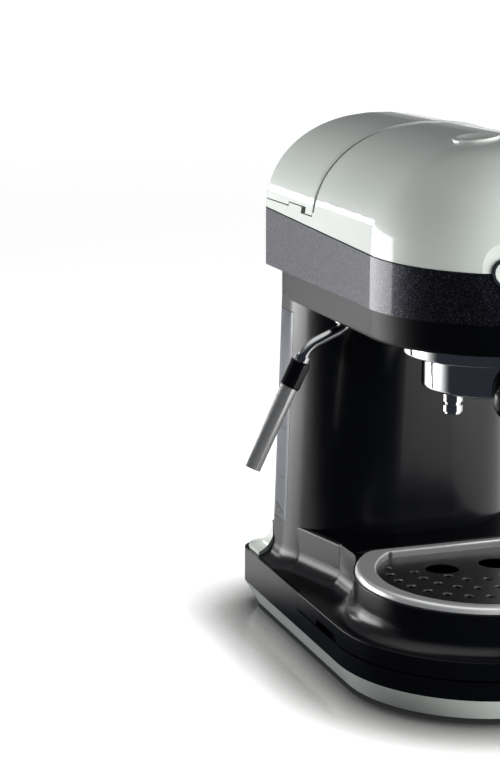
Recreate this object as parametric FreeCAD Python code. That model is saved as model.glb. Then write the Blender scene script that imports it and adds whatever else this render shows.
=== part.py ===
# Pump espresso machine for the kitchen worktop, in millimetres.
# X points to the machine's right, Y to its back, Z up. The front faces -Y.
# The origin is on the worktop, straight below the middle of the brewing group.
import FreeCAD
import Part
import math
import os
from FreeCAD import Vector

UP = Vector(0, 0, 1)
FORWARD = Vector(0, -1, 0)
BACK = Vector(0, 1, 0)
RIGHT = Vector(1, 0, 0)

# Walls and gaps
WALL = 2.5
SEAM = 0.3
RUNNING = 0.05
TOUCH = 0.1
FAR = 400.0

# Base: rubber feet, pale pan, dark plinth
FOOT_R = 8.0
FOOT_DROP = 1.6
FOOT_SINK = 1.2
FOOT_FRONT_Y = -30.0
FOOT_REAR_Y = 142.0
BASE_HALF = 82.0
FOOT_INSET = 36.0
BASE_FRONT_Y = 7.0
BASE_REAR_Y = 173.0
BASE_CORNER = 14.0
PAN_FRONT_TAPER = 2.5
PAN_TAPER = 6.5
PAN_FLOOR = 3.0
PAN_TOP_Z = 14.5
TRAY_DECK_Z = 24.5
LEDGE_Z = 35.0
GROOVE_INSET = 1.4
GROOVE_WIDTH = 0.8
GROOVE_DEPTH = 1.2
SPLIT_Y = 70.0
SCREW_R = 1.7
SCREW_HEAD_R = 3.4
SCREW_HEAD_H = 2.0
BOSS_R = 4.5
BOSS_STEP = 12.0

# Column that carries the head, and the arms at its foot
COLUMN_TOP_HALF = 65.0
COLUMN_LEDGE = 11.6
COLUMN_FRONT_Y = 78.0
COLUMN_REAR_Y = 150.0
COLUMN_ARC = 52.0
COLUMN_REAR_ARC = 8.0
COLUMN_TOP_Z = 193.0
ARM_LEDGE = 25.5
ARM_TOP_Z = 61.0
ARM_REAR_Y = 118.0
ARM_REAR_IN = 1.7
ARM_EDGE_R = 2.0
COVE_R = 11.0
PARTITION_Y = 104.0

# Water tank and its seat
TANK_FLOOR_Z = 60.0
TANK_TOP_DROP = 8.0
TANK_SIDE_Y = 124.0
TANK_WALL = 2.2
TANK_SIDE_IN = 7.0
SEAT_FRONT_Y = 143.0
SEAT_INSET = 2.6
SEAT_SHOULDER = 2.0
SEAT_RISE = 17.0
SEAT_CREST_IN = 1.0
SEAT_CREST_LAP = 2.5
SEAT_CREST_CORNER = 6.0
SEAT_LEVELS = 4
SPIGOT_Z = 72.0
SPIGOT_R = 6.0
SPIGOT_BORE_R = 3.5
SPIGOT_REACH = 7.0

# Drip tray and its steel cover
TRAY_LEDGE = 12.5
TRAY_CENTRE_Y = 4.0
TRAY_WALL_TOP_Z = 57.1
TRAY_BLEND_R = 14.0
SHOULDER_FRONT_Y = 46.0
SHOULDER_RAMP = 10.0
COVER_INSET = 1.0
COVER_CHORD_Y = 54.5
COVER_TOP_Z = 61.2
COVER_CORNER = 14.0
COVER_SHEET = 0.9
COVER_ROLL = 3.0
COVER_INNER_ROLL = 1.2
PLATE_R = 58.5
PLATE_CENTRE_Y = 0.5
PLATE_CHORD_Y = 47.0
PLATE_CORNER = 7.5
PLATE_SINK = 1.0
GRIP_FRONT_Y = 10.0
GRIP_REAR_Y = 40.0
GRIP_TOP_Z = 29.0
GRIP_DEPTH = 6.0
SKIRT_LIFT = 0.6
DRAIN_CLEAR = 12.0
STREAM_HOLE_R = 9.5
STREAM_HOLE_X = 16.0
STREAM_HOLE_Y = 19.5
DRAIN_HOLE_R = 2.0
DRAIN_MOUTH_R = 2.9
DRAIN_MOUTH_DEPTH = 0.6
DRAIN_RADIUS = 47.2
DRAIN_CENTRE_Y = 13.7
DRAIN_RING_STEP = 14.2
DRAIN_RINGS = 3
DRAIN_PITCH = 11.4
DRAIN_SWEEP_DEG = 118.0

# Head: black fascia, dark metallic band, pale dome
HEAD_CENTRE_Y = -4.0
BAND_HALF = 71.0
BAND_REAR_Y = 165.0
BAND_CORNER = 12.0
FASCIA_HEIGHT = 16.3
BAND_HEIGHT = 24.9
BAND_SLOPE = 0.036
BAND_LIP = 8.0
FASCIA_TOP_HALF = 70.2
FASCIA_LOW_HALF = 69.2
FASCIA_REAR_Y = 134.0
FASCIA_EDGE_R = 2.0
DOME_HALF = 70.5
DOME_RISE = 5.8
DOME_HEIGHT = 56.0
DOME_POWER = 2.2
DOME_EDGE_R = 10.0
DOME_POINTS = 14
DOME_SEAM = 0.4
LID_GAP = 0.6

# Rear lid and its hinge
LID_SEAM_LOW_Y = 81.5
LID_SEAM_LEAN = 5.5
LID_RISE = 13.4
LID_TAB_RISE = 2.0
LID_TAB_REAR_Y = 119.0
LID_TAB_FRONT_Y = 99.0
LID_NOTCH_FRONT_Y = 92.0
LID_NOTCH_DROP = 1.6
HINGE_OVERHANG = 1.8
HINGE_R = 2.9
HINGE_PIN_R = 1.1
KNUCKLE_X = 32.0
KNUCKLE_LENGTH = 8.0
KNUCKLE_PLAY = 0.6
LEAF_REACH = 20.0

# Filler well under the lid
WELL_HALF = 56.0
WELL_FRONT_Y = 78.0
WELL_REAR_GAP = 7.0
WELL_RISE = 16.7
WELL_DEPTH = 17.0
WELL_WALL = 2.0
SPOUT_Y = 128.0
SPOUT_R = 12.0

# Brewing group and boiler, all round the group axis
FLANGE_R = 46.9
FLANGE_HEIGHT = 10.9
FLANGE_LIP = 3.4
FLANGE_EDGE_R = 1.2
CUP_R = 36.0
CUP_DROP = 4.4
CUP_HEIGHT = 25.1
CUP_WALL = 3.5
CUP_EDGE_R = 2.0
EAR_R = 40.8
EAR_SPREAD_DEG = 48.0
EAR_CAVITY_R = 41.5
LOCK_TURN_DEG = 45.0
BASKET_R = 29.5
BASKET_SHEET = 0.6
BASKET_RIM_R = 34.5
BASKET_RIM = 1.0
BASKET_LIFT = 5.0
BASKET_PITCH = 7.5
BASKET_HOLE_R = 0.8
GASKET_IN_R = 28.8
GASKET_OUT_R = 36.2
GASKET_H = 4.6
SCREEN_R = 27.2
SCREEN_H = 2.2
SCREEN_PITCH = 7.2
SCREEN_HOLE_R = 0.9
SCREEN_SCREW_HEAD_R = 4.5
SCREEN_SCREW_HEAD_H = 1.2
BOILER_R = 39.7
BOILER_BORE_R = 31.0
BOILER_FLANGE_R = 48.0
BOILER_BOLT_R = 44.2
BOILER_LOWER_HEIGHT = 29.0
BOILER_UPPER_HEIGHT = 28.0
BOILER_FLOOR = 5.0
BOILER_ROOF = 8.0
GASKET_HOLD = 0.7
GROUP_SCREW_BITE = 6.0
PILOT_DEPTH = 8.0
BOILER_FLANGE_H = 4.0
BOILER_BOLTS = 6
GROUP_SCREWS = 4
M4_R = 2.0
M4_HEAD_R = 3.5
M4_HEAD_H = 3.0
ELEMENT_RING_R = 22.0
ELEMENT_R = 3.5
ELEMENT_DROP = 11.0
ELEMENT_LEG = 34.0
ELEMENT_TUCK = 9.0
ELEMENT_LEGS_X = (-18.0, -4.0)
THERMOSTAT_R = 8.0
THERMOSTAT_H = 8.0
THERMOSTAT_Y = 24.0
THERMOSTAT_X = 17.0

# Portafilter spouts and handle
NOZZLE_X = 21.0
NOZZLE_UPPER_R = 5.2
NOZZLE_LOWER_R = 4.3
NOZZLE_BORE_R = 2.6
NOZZLE_DROP = 13.5
NOZZLE_STEP = 7.0
HANDLE_LIFT = 5.5
HANDLE_SLOPE_DEG = 4.0
FERRULE_R = 8.0
COLLAR_START = 41.0
COLLAR_R = 14.5
COLLAR_WIDTH = 1.3
COLLAR_LENGTH = 20.0
HANDLE_NECK_R = 10.5
HANDLE_SWELL_R = 14.0
HANDLE_LENGTH = 100.0

# Steam wand
WAND_X = -57.0
WAND_Y = 60.0
WAND_R = 3.0
WAND_RISE = 12.0
WAND_KNEE_DROP = 4.5
WAND_KNEE_R = 10.0
WAND_ELBOW_R = 17.0
WAND_MOUTH = 0.8
WAND_MOUTH_RISE = 3.0
WAND_REACH = 23.5
WAND_SLOPE_DEG = 23.4
WAND_LEAN_DEG = 26.0
GRIP_DROP = 9.0
GRIP_R = 5.7
GRIP_EDGE_R = 0.8
GRIP_LENGTH = 15.4
FROTH_R = 4.75
FROTH_BORE_R = 3.9
FROTH_LENGTH = 48.7
FROTH_SOCKET = 6.0
AIR_HOLE_R = 0.6
AIR_HOLE_DROP = 16.0
WAND_INSERT = 28.0
WAND_COLLAR_R = 4.2
WAND_COLLAR_H = 3.0
NUT_R = 7.0
NUT_H = 2.5
NUT_PLAY = 2.2
FITTING_R = 5.0
FITTING_H = 14.0

# Two dials on the dome and two push-buttons on the band line
DIAL_X = 14.0
DIAL_Y = -6.0
DIAL_R = 12.4
DIAL_GAP = 0.4
DIAL_DEPTH = 6.0
DIAL_PROUD = 0.9
DIAL_RIM = 1.6
DIAL_DISH = 3.2
WELL_SLEEVE = 2.2
STEM_R = 3.1
STEM_LENGTH = 26.0
VALVE_R = 9.0
VALVE_TOP_DEPTH = 24.0
VALVE_HEIGHT = 20.0
SWITCH_R = 12.5
SWITCH_H = 14.0
BUTTON_X = 26.0
BUTTON_LIFT = 1.1
BUTTON_R = 5.9
BEZEL_R = 7.3
BEZEL_SINK = 0.4
BEZEL_DEPTH = 6.5
BEZEL_BED = 12.0
RECESS_R = 9.0
RECESS_DISH_R = 120.0
RECESS_DISH_DEPTH = 2.2
BUTTON_SINK = 0.6
BUTTON_THICK = 2.8
BUTTON_TRAVEL = 1.6
PLUNGER_R = 2.0
PLUNGER_LENGTH = 8.0
BUTTON_SWITCH_R = 12.0
BUTTON_SWITCH_H = 18.0

# Pump, pipes, board and cord outlet in the base
PUMP_Y = 118.0
PUMP_Z = 36.0
PUMP_COIL_R = 16.0
PUMP_COIL_HALF = 26.0
PUMP_CORE_R = 8.0
PUMP_HALF = 44.0
YOKE_THICK = 2.5
MOUNT_WIDTH = 9.0
MOUNT_DEPTH = 24.0
MOUNT_X = 34.0
HOSE_R = 4.0
HOSE_BORE_R = 2.5
HOSE_BEND = 4.5
HOSE_SIDE_X = 50.0
HOSE_LOOP = 20.0
PIPE_R = 2.4
PIPE_BORE_R = 1.4
PIPE_BEND = 5.0
STEAM_BEND = 8.0
PIPE_X = 34.0
PIPE_Y = 91.0
PIPE_RISE = 19.0
INLET_X = 12.0
INLET_BEND_Y = 66.0
INLET_Y = 34.0
BOARD_CLEARANCE = 1.5
BOARD_WIDTH = 16.0
BOARD_Y = 157.0
BOARD_Z = 11.0
BOARD_THICK = 1.6
RELAY_PITCH = 22.0
RELAY_WIDTH = 14.0
RELAY_DEPTH = 6.0
RELAY_H = 9.0
POST_R = 2.5
POST_INSET = 5.0
GLAND_X = 46.0
GLAND_Z = 24.0
GLAND_R = 6.5
GLAND_LIP = 2.5
GLAND_REACH = 4.0
LEAD_R = 3.6

FOOT_X = BASE_HALF - FOOT_INSET
COLUMN_FOOT_HALF = BASE_HALF - COLUMN_LEDGE
TANK_INNER_HALF = min(COLUMN_FOOT_HALF, COLUMN_TOP_HALF) - TANK_SIDE_IN
SEAT_CREST_HALF = COLUMN_FOOT_HALF - SEAT_CREST_IN
SEAT_CREST_REAR = COLUMN_REAR_Y + SEAT_CREST_LAP
HINGE_Y = BAND_REAR_Y + HINGE_OVERHANG
WELL_REAR_Y = BAND_REAR_Y - WELL_REAR_GAP
ARM_HALF = BASE_HALF - ARM_LEDGE
TRAY_R = BASE_HALF - TRAY_LEDGE
COVER_R = TRAY_R - COVER_INSET
BOARD_LENGTH = 2 * (FOOT_X - BOSS_R - BOARD_CLEARANCE)
BAND_LOW_Z = COLUMN_TOP_Z + FASCIA_HEIGHT
BAND_FRONT_TOP_Z = BAND_LOW_Z + BAND_HEIGHT
DOME_BASE_Z = BAND_FRONT_TOP_Z + DOME_RISE
LID_LINE_Z = BAND_FRONT_TOP_Z + LID_RISE
LID_NOTCH_Z = LID_LINE_Z - LID_NOTCH_DROP
WELL_FLOOR_Z = BAND_LOW_Z + WELL_RISE
WELL_TOP_Z = WELL_FLOOR_Z + WELL_DEPTH
FLANGE_LOW_Z = COLUMN_TOP_Z - FLANGE_HEIGHT
CUP_TOP_Z = COLUMN_TOP_Z - CUP_DROP
CUP_FLOOR_Z = CUP_TOP_Z - CUP_HEIGHT
BASKET_FLOOR_Z = CUP_FLOOR_Z + BASKET_LIFT
BOILER_JOINT_Z = COLUMN_TOP_Z + BOILER_LOWER_HEIGHT
BOILER_TOP_Z = BOILER_JOINT_Z + BOILER_UPPER_HEIGHT
ELEMENT_Z = BOILER_JOINT_Z - ELEMENT_DROP
NOZZLE_LOW_Z = CUP_FLOOR_Z - NOZZLE_DROP
NOZZLE_STEP_Z = CUP_FLOOR_Z - NOZZLE_STEP
HANDLE_Z = CUP_FLOOR_Z + HANDLE_LIFT
WAND_TOP_Z = COLUMN_TOP_Z + WAND_RISE
WAND_KNEE_Z = COLUMN_TOP_Z - WAND_KNEE_DROP
BUTTON_Z = BAND_FRONT_TOP_Z + BUTTON_LIFT
TANK_TOP_Z = COLUMN_TOP_Z - TANK_TOP_DROP
PIPE_Z = COLUMN_TOP_Z + PIPE_RISE
PAN_TOP_INNER = BASE_HALF - WALL
PAN_FLOOR_TOP_Z = FOOT_DROP + PAN_FLOOR
FASCIA_FLOOR_Z = COLUMN_TOP_Z + WALL
GASKET_LOW_Z = CUP_TOP_Z + BASKET_RIM + SEAM
SCREEN_TOP_Z = GASKET_LOW_Z + GASKET_HOLD
BAY_ROOF_Z = TANK_TOP_Z + SEAM


def line(a, b):
    return Part.LineSegment(a, b).toShape()


def arc(a, middle, b):
    return Part.Arc(a, middle, b).toShape()


def corner_arc(centre, radius, start_deg, end_deg):
    points = []
    for angle in (start_deg, (start_deg + end_deg) / 2, end_deg):
        turn = math.radians(angle)
        points.append(centre + Vector(math.cos(turn), math.sin(turn), 0) * radius)
    return arc(*points)


def round_front_outline(half, centre_y, rear_y, corner, z):
    """Plan outline with a half-round front, straight sides and rounded rear corners."""
    left = Vector(-half, centre_y, z)
    right = Vector(half, centre_y, z)
    edges = [arc(left, Vector(0, centre_y - half, z), right)]
    edges.append(line(right, Vector(half, rear_y - corner, z)))
    edges.append(corner_arc(Vector(half - corner, rear_y - corner, z), corner, 0, 90))
    edges.append(line(Vector(half - corner, rear_y, z), Vector(corner - half, rear_y, z)))
    edges.append(corner_arc(Vector(corner - half, rear_y - corner, z), corner, 90, 180))
    edges.append(line(Vector(-half, rear_y - corner, z), left))
    return Part.Wire(edges)


def column_outline(half, inset, z):
    """Plan outline of the column: short flat front, large front arcs, small rear arcs."""
    side = half - inset
    big = COLUMN_ARC - inset
    small = COLUMN_REAR_ARC - inset
    front = COLUMN_FRONT_Y + inset
    rear = COLUMN_REAR_Y - inset
    edges = [line(Vector(big - side, front, z), Vector(side - big, front, z))]
    edges.append(corner_arc(Vector(side - big, front + big, z), big, -90, 0))
    edges.append(line(Vector(side, front + big, z), Vector(side, rear - small, z)))
    edges.append(corner_arc(Vector(side - small, rear - small, z), small, 0, 90))
    edges.append(line(Vector(side - small, rear, z), Vector(small - side, rear, z)))
    edges.append(corner_arc(Vector(small - side, rear - small, z), small, 90, 180))
    edges.append(line(Vector(-side, rear - small, z), Vector(-side, front + big, z)))
    edges.append(corner_arc(Vector(big - side, front + big, z), big, 180, 270))
    return Part.Wire(edges)


def column_half(z):
    """Half-width of the column, which widens towards its foot."""
    share = (z - LEDGE_Z) / (COLUMN_TOP_Z - LEDGE_Z)
    return COLUMN_FOOT_HALF + (COLUMN_TOP_HALF - COLUMN_FOOT_HALF) * share


def column_solid(inset, low_z, high_z):
    low = column_outline(column_half(low_z), inset, low_z)
    high = column_outline(column_half(high_z), inset, high_z)
    return Part.makeLoft([low, high], True, True)


def raised(wire, height):
    return Part.Face(wire).extrude(UP * height)


def block(x0, x1, y0, y1, z0, z1):
    return Part.makeBox(x1 - x0, y1 - y0, z1 - z0, Vector(x0, y0, z0))


def disc(radius, z0, z1, x=0.0, y=0.0):
    return Part.makeCylinder(radius, z1 - z0, Vector(x, y, z0))


def ring(outer, inner, z0, z1, x=0.0, y=0.0):
    return disc(outer, z0, z1, x, y).cut(disc(inner, z0, z1, x, y))


def rod(radius, start, direction, length):
    return Part.makeCylinder(radius, length, start, direction)


def fused(shapes):
    return shapes[0].multiFuse(shapes[1:]).removeSplitter()


def side_prism(points, half=FAR):
    """Prism across the machine whose outline is given as (y, z) points."""
    corners = [Vector(-half, y, z) for y, z in points]
    wire = Part.makePolygon(corners + [corners[0]])
    return Part.Face(wire).extrude(RIGHT * (2 * half))


def polar(radius, degrees, z, centre_y=0.0):
    turn = math.radians(degrees)
    return Vector(radius * math.sin(turn), centre_y - radius * math.cos(turn), z)


def rounded_route(points, bends):
    """Straight runs joined by tangent arcs, with one radius for each knee."""
    edges = []
    start = points[0]
    for before, knee, after, bend in zip(points, points[1:], points[2:], bends):
        to_start = (before - knee).normalize()
        to_end = (after - knee).normalize()
        half = to_start.getAngle(to_end) / 2
        first = knee + to_start * (bend / math.tan(half))
        last = knee + to_end * (bend / math.tan(half))
        inward = (to_start + to_end).normalize()
        middle = knee + inward * (bend / math.sin(half) - bend)
        edges.append(line(start, first))
        edges.append(arc(first, middle, last))
        start = last
    edges.append(line(start, points[-1]))
    return Part.Wire(edges)


def pipe(points, outer, bore, bends):
    """Hollow pipe along a rounded route."""
    route = rounded_route(points, bends)
    direction = (points[1] - points[0]).normalize()
    skins = []
    for radius in (outer, bore):
        circle = Part.Wire(Part.makeCircle(radius, points[0], direction))
        skins.append(route.makePipeShell([circle], True, True))
    return skins[0].cut(skins[1])


def edges_at(shape, test):
    return [edge for edge in shape.Edges if test(edge.BoundBox)]


# Base

def foot_places():
    return [(x, y) for x in (-FOOT_X, FOOT_X) for y in (FOOT_FRONT_Y, FOOT_REAR_Y)]


def boss_places():
    return [(x, y) for x in (-FOOT_X, FOOT_X) for y in (FOOT_FRONT_Y + BOSS_STEP, FOOT_REAR_Y + BOSS_STEP)]


def feet():
    top = FOOT_DROP + FOOT_SINK
    return Part.makeCompound([disc(FOOT_R, 0, top, x, y) for x, y in foot_places()])


def base_pan():
    low = round_front_outline(BASE_HALF - PAN_TAPER, BASE_FRONT_Y + PAN_FRONT_TAPER, BASE_REAR_Y - PAN_TAPER,
                              BASE_CORNER, FOOT_DROP)
    high = round_front_outline(BASE_HALF, BASE_FRONT_Y, BASE_REAR_Y, BASE_CORNER, PAN_TOP_Z)
    shell = Part.makeLoft([low, high], True, True)
    low_inner = round_front_outline(BASE_HALF - PAN_TAPER - WALL, BASE_FRONT_Y + PAN_FRONT_TAPER,
                                    BASE_REAR_Y - PAN_TAPER - WALL, BASE_CORNER - WALL, PAN_FLOOR_TOP_Z)
    high_inner = round_front_outline(PAN_TOP_INNER, BASE_FRONT_Y, BASE_REAR_Y - WALL,
                                     BASE_CORNER - WALL, PAN_TOP_Z)
    shell = shell.cut(Part.makeLoft([low_inner, high_inner], True, True))
    for x, y in foot_places():
        shell = shell.cut(disc(FOOT_R, FOOT_DROP, FOOT_DROP + FOOT_SINK, x, y))
    for x, y in boss_places():
        shell = shell.cut(disc(SCREW_R, FOOT_DROP, PAN_FLOOR_TOP_Z, x, y))
        shell = shell.cut(disc(SCREW_HEAD_R, FOOT_DROP, FOOT_DROP + SCREW_HEAD_H, x, y))
    return shell


def base_screws():
    screws = []
    for x, y in boss_places():
        shank = disc(SCREW_R, FOOT_DROP + SCREW_HEAD_H, TRAY_DECK_Z - WALL - 2, x, y)
        head = disc(SCREW_HEAD_R, FOOT_DROP, FOOT_DROP + SCREW_HEAD_H, x, y)
        screws.append(shank.fuse(head))
    return Part.makeCompound(screws)


def arm_block(inset=0.0):
    """Both arms with the deck between them; their sides spread towards the column."""
    front = ARM_HALF - inset
    rear = min(column_half(LEDGE_Z), column_half(ARM_TOP_Z)) - ARM_REAR_IN - inset
    low = LEDGE_Z - inset
    y = SPLIT_Y + inset
    corners = [Vector(-front, y, low), Vector(front, y, low), Vector(rear, ARM_REAR_Y, low),
               Vector(-rear, ARM_REAR_Y, low)]
    return raised(Part.makePolygon(corners + [corners[0]]), ARM_TOP_Z - LEDGE_Z)


def is_arm_edge(box):
    """Outer top edge of an arm."""
    reach = min(abs(box.XMin), abs(box.XMax))
    return box.ZMax > ARM_TOP_Z - TOUCH and box.YLength > 8 and reach > ARM_HALF - TOUCH


def is_cove(box):
    """Edge where the arms and the column's sides meet the ledge."""
    reach = max(abs(box.XMin), abs(box.XMax))
    flat = box.ZLength < TOUCH and abs(box.ZMax - LEDGE_Z) < TOUCH
    return flat and box.XLength < ARM_HALF and box.YLength > 2 and reach < BASE_HALF - 2


def lower_outside():
    """Outside of the plinth's rear, the column's foot and the arms, with the coves below them."""
    arms = arm_block()
    arms = arms.makeFillet(ARM_EDGE_R, edges_at(arms, is_arm_edge))
    upper = column_solid(0, LEDGE_Z, ARM_TOP_Z).fuse(arms).removeSplitter()
    whole = plinth_outside(TRAY_DECK_Z, LEDGE_Z).fuse(upper).removeSplitter()
    whole = whole.makeFillet(COVE_R, edges_at(whole, is_cove))
    return whole.common(block(-FAR, FAR, SPLIT_Y, FAR, 0, FAR))


def plinth_outside(low_z, high_z):
    outline = round_front_outline(BASE_HALF, BASE_FRONT_Y, BASE_REAR_Y, BASE_CORNER, low_z)
    return raised(outline, high_z - low_z)


def plinth_inside(low_z, high_z):
    outline = round_front_outline(PAN_TOP_INNER, BASE_FRONT_Y, BASE_REAR_Y - WALL, BASE_CORNER - WALL, low_z)
    return raised(outline, high_z - low_z)


def tank_bay():
    """Space of the water tank, open to the back."""
    inner = TANK_INNER_HALF + SEAM
    front = block(-inner, inner, PARTITION_Y, TANK_SIDE_Y, TANK_FLOOR_Z - SEAM, BAY_ROOF_Z)
    rear = block(-FAR, FAR, TANK_SIDE_Y - SEAM, FAR, TANK_FLOOR_Z - SEAM, BAY_ROOF_Z)
    return front.fuse(rear)


def column_inside():
    """Hollow of the column for pump, hose and pipe, in front of the bay and below it."""
    whole = column_solid(WALL, LEDGE_Z - WALL, COLUMN_TOP_Z)
    shelf = TANK_FLOOR_Z - SEAM - WALL
    below = whole.common(block(-FAR, FAR, 0, FAR, 0, shelf))
    front = whole.common(block(-FAR, FAR, 0, PARTITION_Y - WALL, 0, FAR))
    sides = whole.common(block(-FAR, FAR, 0, TANK_SIDE_Y - SEAM - WALL, 0, FAR))
    half = TANK_INNER_HALF + SEAM + WALL
    middle = block(-half, half, PARTITION_Y - WALL, FAR, shelf, FAR)
    cap = whole.common(block(-FAR, FAR, 0, FAR, BAY_ROOF_Z + WALL, FAR))
    return fused([below, front, sides.cut(middle), cap])


def boss(place, top_z):
    return ring(BOSS_R, SCREW_R, PAN_FLOOR_TOP_Z, top_z, place[0], place[1])


def plinth_deck():
    """Ring on the pan with the flat deck under the tray and its two screw bosses."""
    deck = plinth_outside(PAN_TOP_Z, TRAY_DECK_Z)
    deck = deck.cut(plinth_inside(PAN_TOP_Z, TRAY_DECK_Z - WALL))
    behind = block(-FAR, FAR, SPLIT_Y + WALL, FAR, 0, FAR)
    deck = deck.cut(plinth_inside(PAN_TOP_Z, TRAY_DECK_Z).common(behind))
    bosses = [boss(place, TRAY_DECK_Z - WALL) for place in boss_places() if place[1] < SPLIT_Y]
    deck = fused([deck] + bosses)
    return deck.cut(rod(GLAND_R, Vector(GLAND_X, BASE_REAR_Y - WALL, GLAND_Z), BACK, WALL))


def body_shell():
    """Rear plinth, arms and the column's foot in one moulding, up to the arms' top."""
    shell = lower_outside()
    behind = block(-FAR, FAR, SPLIT_Y + WALL, FAR, 0, FAR)
    shell = shell.cut(plinth_inside(TRAY_DECK_Z, LEDGE_Z - WALL).common(behind))
    arms = block(-FAR, FAR, 0, COLUMN_FRONT_Y + COLUMN_ARC, 0, FAR)
    shell = shell.cut(arm_block(WALL).common(arms))
    shell = shell.cut(column_inside())
    shell = shell.cut(tank_bay())
    foot = column_solid(0, LEDGE_Z, TANK_FLOOR_Z)
    shell = shell.cut(block(-FAR, FAR, SEAT_FRONT_Y, FAR, LEDGE_Z, TANK_FLOOR_Z).cut(foot))
    shell = shell.cut(ledge_groove())
    bosses = [boss(place, LEDGE_Z - WALL) for place in boss_places() if place[1] > SPLIT_Y]
    shell = fused([shell] + bosses)
    return shell.cut(rod(GLAND_R, Vector(GLAND_X, BASE_REAR_Y - WALL, GLAND_Z), BACK, WALL))


def ledge_groove():
    """Narrow groove in the ledge, along its outer edge."""
    sides = []
    for inset in (GROOVE_INSET, GROOVE_INSET + GROOVE_WIDTH):
        outline = round_front_outline(BASE_HALF - inset, BASE_FRONT_Y, BASE_REAR_Y - inset,
                                      BASE_CORNER - inset, LEDGE_Z - GROOVE_DEPTH)
        sides.append(raised(outline, FAR))
    return sides[0].cut(sides[1])


def column_shell():
    """Column round the pump's duct, with the partition that the tank plugs into."""
    shell = column_solid(0, ARM_TOP_Z, BAY_ROOF_Z).cut(column_inside()).cut(tank_bay())
    return shell.cut(rod(SPIGOT_R + 2, Vector(0, PARTITION_Y - WALL, SPIGOT_Z), BACK, WALL))


def bay_roof():
    """Top of the column, over the tank's bay, with the hole for the filler spout."""
    roof = column_solid(0, BAY_ROOF_Z, COLUMN_TOP_Z).cut(column_inside())
    return roof.cut(disc(SPOUT_R + SEAM, BAY_ROOF_Z, COLUMN_TOP_Z, 0, SPOUT_Y))


def seat_outline(share, inset, z):
    """Plan outline of the seat between its foot (share 0) and its crest (share 1)."""
    half = BASE_HALF - SEAT_INSET
    rear = BASE_REAR_Y - SEAT_INSET
    corner = BASE_CORNER - SEAT_INSET
    half += (SEAT_CREST_HALF - half) * share - inset
    rear += (SEAT_CREST_REAR - rear) * share - inset
    corner += (SEAT_CREST_CORNER - corner) * share - inset
    return round_front_outline(half, BASE_FRONT_Y, rear, corner, z)


def tank_seat():
    """Pale saddle that sweeps up from the ledge to the back of the column's foot."""
    shoulder_z = LEDGE_Z + SEAT_SHOULDER
    crest_z = shoulder_z + SEAT_RISE
    sections = []
    for k in range(SEAT_LEVELS + 1):
        climb = k / SEAT_LEVELS
        share = 1 - (1 - climb) ** 2
        sections.append(seat_outline(share, 0, shoulder_z + SEAT_RISE * (climb + climb ** 2) / 2))
    saddle = Part.makeLoft(sections, True, False).fuse(raised(seat_outline(0, 0, LEDGE_Z), SEAT_SHOULDER))
    saddle = saddle.removeSplitter().common(block(-FAR, FAR, SEAT_FRONT_Y, FAR, 0, FAR))
    hollow = raised(seat_outline(1, WALL, LEDGE_Z), crest_z - WALL - LEDGE_Z)
    saddle = saddle.cut(hollow.common(block(-FAR, FAR, SEAT_FRONT_Y + WALL, FAR, 0, FAR)))
    return saddle.cut(column_solid(-SEAM, LEDGE_Z, TANK_FLOOR_Z))


# Water tank

def tank_solid(inset):
    """Tank volume: a narrow front half inside the column and a full-width rear half."""
    low = TANK_FLOOR_Z
    rear = column_solid(inset, low, TANK_TOP_Z)
    rear = rear.common(block(-FAR, FAR, TANK_SIDE_Y + inset, FAR, low + inset, FAR))
    half = TANK_INNER_HALF - inset
    overlap = 2 * inset + 1
    front = block(-half, half, PARTITION_Y + SEAM + inset, TANK_SIDE_Y + overlap, low + inset, TANK_TOP_Z)
    return rear.fuse(front).removeSplitter()


def water_tank():
    tank = tank_solid(0).cut(tank_solid(TANK_WALL))
    return tank.cut(rod(SPIGOT_BORE_R, Vector(0, PARTITION_Y, SPIGOT_Z), BACK, TANK_WALL + 1))


def tank_spigot():
    """Outlet on the tank's front wall, with its bore."""
    start = Vector(0, PARTITION_Y + SEAM, SPIGOT_Z)
    tube = rod(SPIGOT_R, start, FORWARD, SPIGOT_REACH)
    return tube.cut(rod(SPIGOT_BORE_R, start, FORWARD, SPIGOT_REACH))


def tank_socket():
    """Socket in the column's partition that takes the tank's outlet and feeds the hose."""
    face = Vector(0, PARTITION_Y - WALL, SPIGOT_Z)
    body = rod(SPIGOT_R + 2, Vector(0, PARTITION_Y, SPIGOT_Z), FORWARD, WALL)
    body = body.fuse(rod(SPIGOT_R + 4, face, FORWARD, SPIGOT_REACH + 1))
    bore = rod(SPIGOT_R + RUNNING, Vector(0, PARTITION_Y, SPIGOT_Z), FORWARD, SPIGOT_REACH)
    return body.removeSplitter().cut(bore).cut(rod(SPIGOT_BORE_R, face, FORWARD, FAR))


# Drip tray

def tray_outline(radius, half, rear_y, z):
    """Round front with straight sides that run back to the arms."""
    slope = math.sqrt(radius * radius - half * half)
    left = Vector(-half, TRAY_CENTRE_Y + slope, z)
    right = Vector(half, TRAY_CENTRE_Y + slope, z)
    edges = [arc(left, Vector(0, TRAY_CENTRE_Y - radius, z), right)]
    edges.append(line(right, Vector(half, rear_y, z)))
    edges.append(line(Vector(half, rear_y, z), Vector(-half, rear_y, z)))
    edges.append(line(Vector(-half, rear_y, z), left))
    return Part.Wire(edges)


def is_tray_cove(box):
    reach = max(abs(box.XMin), abs(box.XMax))
    flat = box.ZLength < TOUCH and abs(box.ZMax - LEDGE_Z) < TOUCH
    return flat and reach < TRAY_R + 1 and box.YMin < SPLIT_Y - 2 - SEAM


def is_tray_corner(box):
    """Upright edge where the tray's straight side meets its round front."""
    return box.ZLength > 15 and box.XLength < TOUCH and box.YMax < SPLIT_Y - 5


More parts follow.
